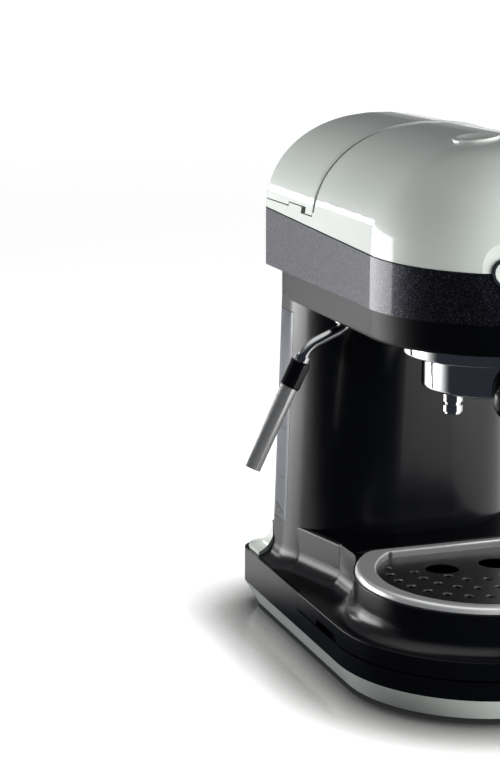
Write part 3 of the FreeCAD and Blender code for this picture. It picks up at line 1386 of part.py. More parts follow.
def button_frame(side):
    """Point on the head's front under a button, and the outward direction there."""
    depth = math.sqrt(BAND_HALF ** 2 - BUTTON_X ** 2)
    outward = Vector(side * BUTTON_X, -depth, 0).normalize()
    return Vector(side * BUTTON_X, HEAD_CENTRE_Y - depth, BUTTON_Z), outward


def button_recesses():
    """Wide shallow dishes in band and dome, with a conical pocket round each button."""
    pockets = []
    for side in (-1, 1):
        place, outward = button_frame(side)
        depth = RECESS_R - BEZEL_R - SEAM
        start = place + outward * 2
        narrow = BEZEL_R + SEAM
        cone = Part.makeCone(RECESS_R + 2, narrow, depth + 2, start, outward * -1)
        dish = Part.makeSphere(RECESS_DISH_R, place + outward * (RECESS_DISH_R - RECESS_DISH_DEPTH))
        pockets.append(dish.fuse(cone).fuse(rod(narrow, place, outward * -1, BEZEL_BED)))
    return pockets


def button_bezel(side):
    place, outward = button_frame(side)
    front = place - outward * BEZEL_SINK
    body = rod(BEZEL_R, front, outward * -1, BEZEL_DEPTH)
    return body.cut(rod(BUTTON_R + 2 * RUNNING, front, outward * -1, BEZEL_DEPTH))


def push_button(side):
    """Cap and plunger of one button."""
    place, outward = button_frame(side)
    front = place - outward * (BEZEL_SINK + BUTTON_SINK)
    cap = rod(BUTTON_R, front, outward * -1, BUTTON_THICK)
    cap = cap.makeFillet(0.5, [edge for edge in cap.Edges if edge.Closed][:1])
    plunger = rod(PLUNGER_R, front - outward * BUTTON_THICK, outward * -1, PLUNGER_LENGTH)
    return cap.fuse(plunger).removeSplitter()


def button_switch(side):
    """Switch body against the bezel's back, with a hole that takes the plunger's travel."""
    place, outward = button_frame(side)
    start = place - outward * (BEZEL_SINK + BEZEL_DEPTH)
    reach = BUTTON_SINK + BUTTON_THICK + PLUNGER_LENGTH + BUTTON_TRAVEL - BEZEL_DEPTH
    body = rod(BUTTON_SWITCH_R, start, outward * -1, BUTTON_SWITCH_H)
    return body.cut(rod(PLUNGER_R + RUNNING, start, outward * -1, reach + SEAM))


# Pump, pipes, board and cord outlet

def pump_point(x):
    return Vector(x, PUMP_Y, PUMP_Z)


def vibration_pump():
    core = rod(PUMP_CORE_R, pump_point(-PUMP_HALF), RIGHT, 2 * PUMP_HALF)
    coil_half = PUMP_COIL_HALF - YOKE_THICK
    coil = rod(PUMP_COIL_R, pump_point(-coil_half), RIGHT, 2 * coil_half)
    pump = core.fuse(coil).removeSplitter()
    pump = pump.cut(rod(HOSE_BORE_R, pump_point(-PUMP_HALF), RIGHT, 8))
    return pump.cut(rod(PIPE_BORE_R, pump_point(PUMP_HALF), RIGHT * -1, 8))


def pump_yoke():
    """Steel frame round the coil."""
    half = PUMP_COIL_HALF
    size = PUMP_COIL_R
    tall = size + YOKE_THICK
    frame = block(-half, half, PUMP_Y - size, PUMP_Y + size, PUMP_Z - tall, PUMP_Z + tall)
    inner = half - YOKE_THICK
    frame = frame.cut(block(-inner, inner, 0, FAR, PUMP_Z - size, PUMP_Z + size))
    return frame.cut(rod(PUMP_CORE_R, pump_point(-FAR), RIGHT, 2 * FAR))


def pump_mounts():
    """Rubber blocks between the pan and the pump's ends."""
    mounts = []
    for x in (-MOUNT_X, MOUNT_X):
        mount = block(x - MOUNT_WIDTH / 2, x + MOUNT_WIDTH / 2, PUMP_Y - MOUNT_DEPTH / 2,
                      PUMP_Y + MOUNT_DEPTH / 2, PAN_FLOOR_TOP_Z, PUMP_Z + PUMP_CORE_R + 4)
        mounts.append(mount.cut(rod(PUMP_CORE_R, pump_point(-FAR), RIGHT, 2 * FAR)))
    return Part.makeCompound(mounts)


def suction_hose():
    """Silicone hose from the tank's socket to the pump."""
    start_y = PARTITION_Y - WALL - SPIGOT_REACH - 1
    fall_y = start_y - 7
    points = [Vector(0, start_y, SPIGOT_Z), Vector(0, fall_y, SPIGOT_Z), Vector(0, fall_y, PUMP_Z + 8),
              Vector(-HOSE_SIDE_X, PUMP_Y - HOSE_LOOP, PUMP_Z), Vector(-PUMP_HALF - 9, PUMP_Y, PUMP_Z),
              Vector(-PUMP_HALF, PUMP_Y, PUMP_Z)]
    return pipe(points, HOSE_R, HOSE_BORE_R, (HOSE_BEND,) * 4)


def delivery_pipe():
    """Pipe from the pump up the column to the boiler."""
    points = [pump_point(PUMP_HALF), pump_point(PUMP_HALF + 10), Vector(PIPE_X, PIPE_Y, PUMP_Z + 14),
              Vector(PIPE_X, PIPE_Y, PIPE_Z - 4), Vector(INLET_X, INLET_BEND_Y, PIPE_Z),
              Vector(INLET_X, INLET_Y, PIPE_Z)]
    return pipe(points, PIPE_R, PIPE_BORE_R, (PIPE_BEND,) * 4)


def steam_pipe():
    """Pipe from the steam valve to the wand's fitting."""
    place, axis = dial_frame(-1)
    start = place - axis * (VALVE_TOP_DEPTH + 0.5 * VALVE_HEIGHT)
    side = Vector(-1, 0, 0)
    start = start + side * (VALVE_R - 1)
    points = [start, Vector(WAND_X, start.y, start.z), Vector(WAND_X, WAND_Y, start.z - 12),
              Vector(WAND_X, WAND_Y, FASCIA_FLOOR_Z + FITTING_H)]
    return pipe(points, PIPE_R, PIPE_BORE_R, (STEAM_BEND,) * 2).cut(steam_valve())


def control_board():
    half = BOARD_LENGTH / 2
    top = BOARD_Z + BOARD_THICK
    parts = [block(-half, half, BOARD_Y - BOARD_WIDTH / 2, BOARD_Y + BOARD_WIDTH / 2 - 6, BOARD_Z, top)]
    for x in (POST_INSET - half, half - POST_INSET):
        parts.append(disc(POST_R, PAN_FLOOR_TOP_Z, BOARD_Z, x, BOARD_Y - POST_R))
    for step in (-1, 0, 1):
        x = step * RELAY_PITCH - RELAY_WIDTH / 2
        parts.append(block(x, x + RELAY_WIDTH, BOARD_Y - RELAY_DEPTH, BOARD_Y, top, top + RELAY_H))
    return fused(parts)


def cord_gland():
    """Bushing in the rear wall where the mains lead comes out."""
    wall = Vector(GLAND_X, BASE_REAR_Y, GLAND_Z)
    depth = WALL + GLAND_REACH
    gland = rod(GLAND_R, wall - BACK * depth, BACK, depth)
    gland = gland.fuse(rod(GLAND_R + GLAND_LIP, wall, BACK, GLAND_LIP)).removeSplitter()
    return gland.cut(rod(LEAD_R, wall - BACK * depth, BACK, 2 * depth))


SUBPARTS = {
    "feet": feet,
    "base_pan": base_pan,
    "base_screws": base_screws,
    "plinth_deck": plinth_deck,
    "body_shell": body_shell,
    "column_shell": column_shell,
    "bay_roof": bay_roof,
    "tank_seat": tank_seat,
    "water_tank": water_tank,
    "tank_spigot": tank_spigot,
    "tank_socket": tank_socket,
    "drip_tray": drip_tray,
    "drip_cover": drip_cover,
    "head_fascia": head_fascia,
    "head_band": head_band,
    "dome_cover": dome_cover,
    "rear_lid": rear_lid,
    "lid_hinge_pins": hinge_pins,
    "filler_well": filler_well,
    "group_flange": group_flange,
    "group_gasket": group_gasket,
    "shower_screen": shower_screen,
    "shower_screw": shower_screw,
    "boiler_base": boiler_base,
    "boiler_top": boiler_top,
    "boiler_bolts": boiler_bolts,
    "group_screws": group_screws,
    "heating_element": heating_element,
    "thermostats": thermostats,
    "portafilter_cup": portafilter_cup,
    "filter_basket": filter_basket,
    "handle_collar": handle_collar,
    "portafilter_handle": portafilter_handle,
    "wand_pipe": wand_pipe,
    "wand_collar": wand_collar,
    "wand_grip": wand_grip,
    "froth_tube": froth_tube,
    "wand_nut": wand_nut,
    "wand_fitting": wand_fitting,
    "steam_dial": lambda: dial(-1),
    "function_dial": lambda: dial(1),
    "steam_stem": lambda: stem(-1),
    "selector_stem": selector_stem,
    "steam_valve": steam_valve,
    "selector_switch": selector_switch,
    "power_button": lambda: push_button(-1),
    "brew_button": lambda: push_button(1),
    "power_bezel": lambda: button_bezel(-1),
    "brew_bezel": lambda: button_bezel(1),
    "power_switch": lambda: button_switch(-1),
    "brew_switch": lambda: button_switch(1),
    "vibration_pump": vibration_pump,
    "pump_yoke": pump_yoke,
    "pump_mounts": pump_mounts,
    "suction_hose": suction_hose,
    "delivery_pipe": delivery_pipe,
    "steam_pipe": steam_pipe,
    "control_board": control_board,
    "cord_gland": cord_gland,
}


def main():
    os.makedirs("parts", exist_ok=True)
    for name, make in SUBPARTS.items():
        shape = make()
        if shape.ShapeType == "Compound" and len(shape.Solids) == 1:
            shape = shape.Solids[0]
        shape.exportStep("parts/" + name + ".step")
        print(name, len(shape.Solids), round(shape.Volume), shape.isValid())


main()
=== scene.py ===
# %% [markdown]
# # A pump espresso machine
#
# The machine's solids come from the imported CAD model. This file dresses them: it gives every
# solid a finish, models the small parts that are better shaped here, and sets up the studio.
# Lengths are in metres. X points to the machine's right, Y to its back and Z up.

# %% Load the machine
import math

import bpy
from mathutils import Matrix, Vector


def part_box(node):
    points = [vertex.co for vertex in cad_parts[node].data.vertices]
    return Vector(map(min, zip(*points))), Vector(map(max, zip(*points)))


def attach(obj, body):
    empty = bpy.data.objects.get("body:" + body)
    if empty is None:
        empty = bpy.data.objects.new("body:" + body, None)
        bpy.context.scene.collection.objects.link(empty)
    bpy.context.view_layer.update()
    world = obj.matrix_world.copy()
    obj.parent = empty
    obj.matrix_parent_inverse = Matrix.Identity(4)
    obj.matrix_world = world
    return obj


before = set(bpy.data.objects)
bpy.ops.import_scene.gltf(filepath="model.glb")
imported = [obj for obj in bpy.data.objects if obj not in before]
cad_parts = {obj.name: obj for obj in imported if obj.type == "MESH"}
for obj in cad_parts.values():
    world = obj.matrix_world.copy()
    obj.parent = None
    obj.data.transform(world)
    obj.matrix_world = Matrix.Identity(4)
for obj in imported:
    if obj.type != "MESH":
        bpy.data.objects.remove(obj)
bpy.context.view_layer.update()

# %% [markdown]
# ## The camera
#
# The photograph was taken from the front left and a little above, with a long lens. Its place
# and its three axes were worked out from the round and upright shapes of the machine, so the
# camera here is set from those directions, with no shift.

# %% Place the camera
CAMERA_PLACE = Vector((-0.4561, -0.9297, 0.3894))
VIEW_RIGHT = Vector((0.94503, -0.32697, 0.0))
VIEW_UP = Vector((0.07100, 0.20522, 0.97613))
LENS = 91.43
SENSOR = 36.0


def place_camera():
    """Make the camera and turn it to the view's own right, up and backward axes."""
    data = bpy.data.cameras.new("studio_camera")
    data.sensor_fit = "VERTICAL"
    data.sensor_height = SENSOR
    data.lens = LENS
    camera = bpy.data.objects.new("studio_camera", data)
    bpy.context.scene.collection.objects.link(camera)
    back = VIEW_RIGHT.cross(VIEW_UP)
    turn = Matrix((VIEW_RIGHT, VIEW_UP, back)).transposed().to_4x4()
    camera.matrix_world = Matrix.Translation(CAMERA_PLACE) @ turn
    bpy.context.scene.camera = camera
    return camera


camera = place_camera()
print("camera looks along", [round(v, 3) for v in -camera.matrix_world.col[2].to_3d()])

# %% [markdown]
# ## Helpers for finishes
#
# Every finish is a small tree of nodes round one Principled shader. The helpers below add a
# node, wire two sockets, and give a finish to the solids that wear it. Patterns read Object
# coordinates, which are metres in the machine's own frame, so a grain of 1 mm needs a scale
# of about 1000.

# %% Helpers for node trees
def finish_base(name, colour, roughness, metallic=0.0):
    """A new material whose Principled shader has these plain values."""
    finish = bpy.data.materials.new(name)
    finish.use_nodes = True
    shader = finish.node_tree.nodes["Principled BSDF"]
    shader.inputs["Base Color"].default_value = (*colour, 1.0)
    shader.inputs["Roughness"].default_value = roughness
    shader.inputs["Metallic"].default_value = metallic
    return finish


def shader_of(finish):
    return finish.node_tree.nodes["Principled BSDF"]


def add_node(finish, kind, **values):
    """A node with some of its properties or input sockets set by name."""
    node = finish.node_tree.nodes.new(kind)
    for key, value in values.items():
        socket = node.inputs.get(key.replace("_", " "))
        if hasattr(node, key):
            setattr(node, key, value)
        elif socket is not None:
            socket.default_value = value
    return node


def wire(finish, source, output, target, socket):
    finish.node_tree.links.new(source.outputs[output], target.inputs[socket])


def stretched(finish, stretch=(1, 1, 1)):
    """Object coordinates, squeezed along some axes so that a pattern runs in one direction."""
    place = add_node(finish, "ShaderNodeTexCoord")
    mapping = add_node(finish, "ShaderNodeMapping")
    mapping.inputs["Scale"].default_value = stretch
    wire(finish, place, "Object", mapping, "Vector")
    return mapping


def noise(finish, scale, detail=2.0, stretch=(1, 1, 1)):
    pattern = add_node(finish, "ShaderNodeTexNoise", Scale=scale, Detail=detail)
    wire(finish, stretched(finish, stretch), "Vector", pattern, "Vector")
    return pattern


def spread(finish, source, output, low, high):
    """Map a pattern's 0 to 1 onto low to high."""
    node = add_node(finish, "ShaderNodeMapRange")
    node.inputs["To Min"].default_value = low
    node.inputs["To Max"].default_value = high
    wire(finish, source, output, node, "Value")
    return node


def colour_steps(finish, *steps):
    """A colour ramp through these pairs of position and colour, lowest first."""
    ramp = add_node(finish, "ShaderNodeValToRGB")
    marks = ramp.color_ramp.elements
    while len(marks) < len(steps):
        marks.new(0.5)
    for mark, (position, colour) in zip(marks, steps):
        mark.position = position
        mark.color = (*colour, 1)
    return ramp


DRIFT_LOW = 0.35
DRIFT_HIGH = 0.65


def vary_colour(finish, pattern, dark, light):
    """Let the base colour drift between two close shades."""
    ramp = colour_steps(finish, (DRIFT_LOW, dark), (DRIFT_HIGH, light))
    wire(finish, pattern, "Fac", ramp, "Fac")
    wire(finish, ramp, "Color", shader_of(finish), "Base Color")


def vary_roughness(finish, pattern, low, high):
    value = spread(finish, pattern, "Fac", low, high)
    wire(finish, value, "Result", shader_of(finish), "Roughness")


EDGE_SAMPLES = 6


def add_bump(finish, pattern, output, height, edge=0.0):
    """Raise the pattern by a height in metres; edge softens sharp corners by that radius."""
    bump = add_node(finish, "ShaderNodeBump", Strength=1.0, Distance=height)
    wire(finish, pattern, output, bump, "Height")
    if edge > 0:
        corner = add_node(finish, "ShaderNodeBevel", samples=EDGE_SAMPLES, Radius=edge)
        wire(finish, corner, "Normal", bump, "Normal")
    wire(finish, bump, "Normal", shader_of(finish), "Normal")


def coat(finish, weight, roughness):
    """Clear lacquer on top, set on the shader itself."""
    shader_of(finish).inputs["Coat Weight"].default_value = weight
    shader_of(finish).inputs["Coat Roughness"].default_value = roughness


def calculate(finish, operation, *terms):
    """A Math node on numbers and on other nodes' first outputs."""
    node = add_node(finish, "ShaderNodeMath", operation=operation)
    for place, term in enumerate(terms):
        if isinstance(term, (int, float)):
            node.inputs[place].default_value = term
        else:
            finish.node_tree.links.new(term, node.inputs[place])
    return node.outputs[0]


def step_between(finish, value, low, high):
    """0 below low, 1 above high, and a smooth step between them."""
    node = add_node(finish, "ShaderNodeMapRange", interpolation_type="SMOOTHSTEP")
    node.inputs["From Min"].default_value = low
    node.inputs["From Max"].default_value = high
    finish.node_tree.links.new(value, node.inputs["Value"])
    return node.outputs["Result"]


def wear(finish, *names):
    """Give the finish to these CAD solids."""
    for name in names:
        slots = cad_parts[name].data.materials
        slots.clear()
        slots.append(finish)
    print(finish.name, "on", len(names), "solids")


# %% [markdown]
# ## Pale shell plastic
#
# The domed cover, the lid, the ring at the worktop and the saddle under the tank are one pale
# grey-green plastic, moulded and polished. It could be a plain diffuse colour, but the real
# shell mirrors the studio lamps sharply over a soft colour, so it gets a clear coat over a
# rougher base, a faint drift of shade and a very low ripple, as moulded plastic has.

# %% Pale shell
PALE = (0.600, 0.640, 0.600)
PALE_DEEP = (0.575, 0.615, 0.578)
PALE_ROUGH = 0.42
POLISH_ROUGH = 0.045
DRIFT_SCALE = 14.0
RIPPLE_SCALE = 420.0
RIPPLE_HEIGHT = 0.0000035
SHELL_EDGE = 0.0005


def pale_plastic(name, light, dark):
    finish = finish_base(name, light, PALE_ROUGH)
    vary_colour(finish, noise(finish, DRIFT_SCALE), dark, light)
    coat(finish, 1.0, POLISH_ROUGH)
    add_bump(finish, noise(finish, RIPPLE_SCALE, 1.0), "Fac", RIPPLE_HEIGHT, SHELL_EDGE)
    return finish


shell = pale_plastic("pale_shell", PALE, PALE_DEEP)
wear(shell, "dome_cover", "rear_lid", "base_pan", "tank_seat")

# %% [markdown]
# ## Dial and button plastic
#
# The dials and push-buttons are separate mouldings in the same plastic, a shade lighter, so
# the same helper makes their finish. The bezels round the buttons are bright metal-look trim.

# %% Dials and buttons
DIAL_LIGHT = (0.625, 0.660, 0.625)
DIAL_DARK = (0.600, 0.640, 0.600)
dial_plastic = pale_plastic("dial_plastic", DIAL_LIGHT, DIAL_DARK)
wear(dial_plastic, "steam_dial", "function_dial", "power_button", "brew_button")

trim = finish_base("bright_trim", (0.86, 0.87, 0.87), 0.12, 1.0)
vary_roughness(trim, noise(trim, 600.0), 0.08, 0.18)
add_bump(trim, noise(trim, 900.0), "Fac", 0.000002)
wear(trim, "power_bezel", "brew_bezel")

# %% [markdown]
# ## Black body plastic
#
# The column, the arms, the tray and the underside of the head are glossy black plastic. Its
# lamp reflections are soft at their edges, so the surface has a middling roughness that
# drifts, with a fine moulded grain. The tray is polished more, and the lower shell of the head
# is duller, so it mirrors less of the lamps.

# %% Black body
BLACK = (0.0016, 0.0018, 0.0028)
BLACK_DEEP = (0.0012, 0.0014, 0.0022)
BLACK_DRIFT = 30.0
GLOSS_DRIFT = 60.0
GRAIN_SCALE = 1500.0
GRAIN_HEIGHT = 0.0000015


def black_plastic(name, low, high, grain=GRAIN_HEIGHT, edge=0.0):
    """Black plastic whose roughness drifts between low and high."""
    finish = finish_base(name, BLACK, low)
    vary_colour(finish, noise(finish, BLACK_DRIFT), BLACK_DEEP, BLACK)
    vary_roughness(finish, noise(finish, GLOSS_DRIFT, 3.0), low, high)
    add_bump(finish, noise(finish, GRAIN_SCALE, 2.0), "Fac", grain, edge)
    return finish


body_black = black_plastic("black_body", 0.20, 0.26)
wear(body_black, "plinth_deck", "body_shell", "column_shell", "bay_roof", "tank_socket")
FASCIA_SPECULAR = 0.20
fascia_black = black_plastic("fascia_black", 0.28, 0.34)
shader_of(fascia_black).inputs["Specular IOR Level"].default_value = FASCIA_SPECULAR
wear(fascia_black, "head_fascia")
tray_black = black_plastic("tray_black", 0.17, 0.23, edge=0.0007)
wear(tray_black, "drip_tray")

# %% [markdown]
# ## Dark metallic band
#
# The band round the head is black-grey plastic with metal flakes under a clear lacquer. The
# flakes could be a picture, but a Voronoi pattern gives each cell its own random shade, which
# is what a flake does, and a few of them are much brighter than the rest.

# %% Metallic band
FLAKE_SCALE = 2700.0
FLAKE_DULL = (0.008, 0.008, 0.012)
FLAKE_COMMON = (0.018, 0.018, 0.026)
FLAKE_BRIGHT = (0.11, 0.115, 0.15)
FLAKE_METAL = 0.85
FLAKE_ROUGH = 0.42
LACQUER = 0.6
LACQUER_ROUGH = 0.10


def flake_paint(name):
    finish = finish_base(name, FLAKE_COMMON, FLAKE_ROUGH, FLAKE_METAL)
    cells = add_node(finish, "ShaderNodeTexVoronoi", Scale=FLAKE_SCALE)
    wire(finish, stretched(finish), "Vector", cells, "Vector")
    chance = add_node(finish, "ShaderNodeSeparateColor")
    wire(finish, cells, "Color", chance, "Color")
    ramp = colour_steps(finish, (0.05, FLAKE_DULL), (0.72, FLAKE_COMMON), (0.98, FLAKE_BRIGHT))
    wire(finish, chance, "Red", ramp, "Fac")
    wire(finish, ramp, "Color", shader_of(finish), "Base Color")
    coat(finish, LACQUER, LACQUER_ROUGH)
    add_bump(finish, noise(finish, 300.0), "Fac", 0.000002, SHELL_EDGE)
    return finish


band_paint = flake_paint("dark_band")
wear(band_paint, "head_band")

# %% [markdown]
# ## Smoked tank
#
# The water tank is clear plastic tinted grey. It could be painted grey and opaque, but it is a
# real hollow wall in the solids, so a transmissive shader shows its thickness. A slight haze
# keeps it from looking like glass.

# %% Smoked tank
SMOKE = (0.11, 0.125, 0.16)
CLEARNESS = 0.65
TANK_IOR = 1.49
tank = finish_base("tank_clear", SMOKE, 0.16)
shader_of(tank).inputs["Transmission Weight"].default_value = CLEARNESS
shader_of(tank).inputs["IOR"].default_value = TANK_IOR
vary_roughness(tank, noise(tank, 120.0), 0.10, 0.22)
add_bump(tank, noise(tank, 260.0), "Fac", 0.000004)
wear(tank, "water_tank", "tank_spigot")

# %% [markdown]
# ## Steel and chrome
#
# The drip cover is pressed steel: its plate is brushed across the machine and its rolled rim
# is polished. They could be two solids, but the real cover is one sheet, so the place of a
# point in plan decides which finish it has. The group ring and the portafilter are mirror
# chrome, the steam pipe is polished, and the frothing sleeve has a satin face. The rim and the
# sleeve aren't wholly metallic, so that they take some plain light from the fills, which
# mirrors don't see.

# %% Pressed steel of the drip cover
PLATE_ROUGH = 0.30
RIM_ROUGH = 0.20
# Painted shade: the sunk plate's steel is darkened well below the rim's, for its dark, shaded
# look.
PLATE_PAINTED_SHADE = 0.30
RIM_SHADE = 0.88
PLATE_METAL = 0.97
RIM_METAL = 0.65
PLATE_CENTRE_Y = 0.0005
PLATE_R = 0.0585
PLATE_REAR_Y = 0.0470
RIM_SOFT = 0.0003
BRUSH_SCALE = 900.0
ALONG_X = (0.05, 1, 1)


def rim_share(finish):
    """0 on the sunk plate and 1 on the rolled rim round it."""
    split = add_node(finish, "ShaderNodeSeparateXYZ")
    wire(finish, add_node(finish, "ShaderNodeTexCoord"), "Object", split, "Vector")
    across = split.outputs["X"]
    back = calculate(finish, "SUBTRACT", split.outputs["Y"], PLATE_CENTRE_Y)
    squares = calculate(finish, "ADD", calculate(finish, "MULTIPLY", across, across),
                        calculate(finish, "MULTIPLY", back, back))
    reach = calculate(finish, "SQRT", squares)
    outside = step_between(finish, reach, PLATE_R - RIM_SOFT, PLATE_R + RIM_SOFT)
    behind = step_between(finish, split.outputs["Y"],
                          PLATE_REAR_Y - RIM_SOFT, PLATE_REAR_Y + RIM_SOFT)
    return calculate(finish, "MAXIMUM", outside, behind)


def pressed_steel(name):
    finish = finish_base(name, (RIM_SHADE, RIM_SHADE, RIM_SHADE), PLATE_ROUGH, 1.0)
    rim = rim_share(finish).node
    for socket, plate, edge in (("Roughness", PLATE_ROUGH, RIM_ROUGH),
                                ("Base Color", PLATE_PAINTED_SHADE, RIM_SHADE),
                                ("Metallic", PLATE_METAL, RIM_METAL)):
        value = spread(finish, rim, "Value", plate, edge)
        wire(finish, value, "Result", shader_of(finish), socket)
    brushing = noise(finish, BRUSH_SCALE, 3.0, ALONG_X)
    add_bump(finish, brushing, "Fac", 0.000003, 0.0004)
    return finish


cover_steel = pressed_steel("cover_steel")
wear(cover_steel, "drip_cover")

# %% Chrome and the wand's steel
METAL_GRAIN = 900.0


def metal(name, colour, low, high, grain):
    """Metal whose roughness drifts between low and high, with a grain of this height."""
    finish = finish_base(name, colour, low, 1.0)
    pattern = noise(finish, METAL_GRAIN, 3.0)
    vary_roughness(finish, pattern, low, high)
    add_bump(finish, pattern, "Fac", grain)
    return finish


chrome = metal("group_chrome", (0.80, 0.81, 0.82), 0.08, 0.12, 0.0000005)
wear(chrome, "group_flange", "portafilter_cup")
pipe_steel = metal("pipe_steel", (0.66, 0.66, 0.67), 0.10, 0.16, 0.0000006)
wear(pipe_steel, "wand_pipe", "wand_collar", "wand_nut")
SLEEVE_METAL = 0.86
sleeve_steel = metal("sleeve_steel", (0.74, 0.74, 0.73), 0.18, 0.26, 0.0000008)
shader_of(sleeve_steel).inputs["Metallic"].default_value = SLEEVE_METAL
wear(sleeve_steel, "froth_tube")

# %% Plain steel out of sight
inner_steel = metal("inner_steel", (0.62, 0.62, 0.62), 0.25, 0.40, 0.000002)
wear(inner_steel, "filter_basket", "shower_screen", "shower_screw", "lid_hinge_pins",
     "base_screws", "boiler_bolts", "group_screws", "pump_yoke")
tube_steel = metal("tube_steel", (0.68, 0.68, 0.68), 0.15, 0.30, 0.000001)
wear(tube_steel, "heating_element", "delivery_pipe", "steam_pipe")

# %% [markdown]
# ## Grips, rubber and the inner parts
#
# The handle and the wand's grip are smooth black plastic. Feet, gasket and pump blocks are
# matt rubber. Inside are cast aluminium, turned brass, grey moulded plastic, clear silicone
# and a printed board: rough or fine grains at their own scale tell them apart.

# %% Grips and rubber
grip_black = black_plastic("black_grip", 0.16, 0.24, 0.000001, 0.0003)
wear(grip_black, "handle_collar", "portafilter_handle", "wand_grip")

rubber = finish_base("feet_rubber", (0.022, 0.022, 0.022), 0.75)
vary_roughness(rubber, noise(rubber, 300.0), 0.65, 0.85)
add_bump(rubber, noise(rubber, 2500.0), "Fac", 0.00002)
wear(rubber, "feet", "group_gasket", "pump_mounts", "cord_gland")

# %% Inner metals
cast = finish_base("boiler_cast", (0.56, 0.56, 0.56), 0.5, 1.0)
vary_roughness(cast, noise(cast, 250.0), 0.42, 0.62)
add_bump(cast, noise(cast, 1100.0, 4.0), "Fac", 0.00006)
wear(cast, "boiler_base", "boiler_top")
brass = metal("fitting_brass", (0.72, 0.52, 0.22), 0.18, 0.30, 0.000001)
wear(brass, "wand_fitting", "steam_stem", "selector_stem", "steam_valve")

# %% Inner plastics
inner_plastic = finish_base("inner_plastic", (0.13, 0.13, 0.135), 0.5)
vary_roughness(inner_plastic, noise(inner_plastic, 200.0), 0.42, 0.6)
add_bump(inner_plastic, noise(inner_plastic, 1800.0), "Fac", 0.00001, 0.0004)
wear(inner_plastic, "filler_well", "thermostats", "selector_switch", "power_switch",
     "brew_switch", "vibration_pump")

silicone = finish_base("hose_silicone", (0.70, 0.70, 0.66), 0.35)
shader_of(silicone).inputs["Transmission Weight"].default_value = 0.35
vary_roughness(silicone, noise(silicone, 300.0), 0.3, 0.45)
wear(silicone, "suction_hose")

board = finish_base("board_green", (0.03, 0.20, 0.09), 0.35)
tracks = add_node(board, "ShaderNodeTexBrick", Scale=160.0)
tracks.inputs["Color1"].default_value = (0.028, 0.17, 0.08, 1)
tracks.inputs["Color2"].default_value = (0.035, 0.21, 0.10, 1)
tracks.inputs["Mortar"].default_value = (0.08, 0.33, 0.16, 1)
wire(board, stretched(board), "Vector", tracks, "Vector")
wire(board, tracks, "Color", shader_of(board), "Base Color")
wear(board, "control_board")

# %% [markdown]
# ## The bead along the dome's seam
#
# Where the domed cover meets the rear lid, its edge ends in a small rounded bead that catches
# the light. It could be drawn point by point, but its line is already there. So a copy of the
# cover is cut by one upright plane, only the outer line of that cut is kept, and a round
# section is run along it.

# %% Helpers for new pieces
def deselect():
    bpy.ops.object.select_all(action="DESELECT")


def make_active(piece):
    deselect()
    piece.select_set(True)
    bpy.context.view_layer.objects.active = piece


SMOOTH_BELOW = math.radians(40)


def settle(piece, name, finish, body):
    """Finish a piece: its place goes into its mesh, and it rides on a body."""
    make_active(piece)
    bpy.ops.object.transform_apply(location=True, rotation=True, scale=True)
    bpy.ops.object.shade_smooth_by_angle(angle=SMOOTH_BELOW)
    piece.name = name
    piece.data.materials.clear()
    piece.data.materials.append(finish)
    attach(piece, body)
    print(name, "has", len(piece.data.polygons), "faces")
    return piece


# %% Seam bead
BEAD_R = 0.0008
BEAD_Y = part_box("rear_lid")[0].y - 0.0014
BEAD_FOOT_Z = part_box("dome_cover")[0].z + 0.012
SAME_POINT = 0.00002
JUST_OUT = 0.0004
print("bead at y", round(BEAD_Y, 4), "from z", round(BEAD_FOOT_Z, 4))


def cut_line(node, y):
    """The cut of a solid by the upright plane at y, as loose edges."""
    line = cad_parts[node].copy()
    line.data = line.data.copy()
    bpy.context.scene.collection.objects.link(line)
    make_active(line)
    bpy.ops.object.mode_set(mode="EDIT")
    bpy.ops.mesh.select_all(action="SELECT")
    bpy.ops.mesh.remove_doubles(threshold=SAME_POINT)
    bpy.ops.mesh.select_all(action="SELECT")
    bpy.ops.mesh.bisect(plane_co=(0, y, 0), plane_no=(0, 1, 0), clear_inner=True, clear_outer=True)
    bpy.ops.mesh.select_mode(type="VERT")
    bpy.ops.mesh.select_all(action="DESELECT")
    bpy.ops.object.mode_set(mode="OBJECT")
    return line


def keep_outline(line, node):
    """Delete what lies below the foot and what the solid still covers from outside."""
    centre = Vector((0, BEAD_Y, BEAD_FOOT_Z))
    for vertex in line.data.vertices:
        out = (vertex.co - centre).normalized()
        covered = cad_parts[node].ray_cast(vertex.co + out * JUST_OUT, out)[0]
        vertex.select = covered or vertex.co.z < BEAD_FOOT_Z
    bpy.ops.object.mode_set(mode="EDIT")
    bpy.ops.mesh.delete(type="VERT")
    bpy.ops.object.mode_set(mode="OBJECT")


def seam_bead():
    line = cut_line("dome_cover", BEAD_Y)
    keep_outline(line, "dome_cover")
    print("outline of", len(line.data.vertices), "points")
    make_active(line)
    bpy.ops.object.convert(target="CURVE")
    line.data.bevel_depth = BEAD_R
    line.data.bevel_resolution = 2
    line.data.use_fill_caps = True
    bpy.ops.object.convert(target="MESH")
    return settle(line, "seam_bead", shell, "machine")


seam_bead()

# %% [markdown]
# ## Marks on the dials and the tank
#
# Each dial has a small raised pointer on its rim, and each side of the tank has three moulded
# level ribs and, at its foot, the black end of a catch. They are too small to be solids of
# their own. Each starts as a block or prism, is tapered and bevelled, and is set down on the
# surface where a ray from outside meets it, so it always sits on what carries it.

# %% Setting a piece down on a surface
ROUND_STEPS = 3


def meet(node, start, direction):
    """Where a ray from outside meets a solid, and which way the surface faces there."""
    hit, place, normal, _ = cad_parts[node].ray_cast(start, direction)
    if not hit:
        raise ValueError("nothing of " + node + " in that direction")
    return place, normal


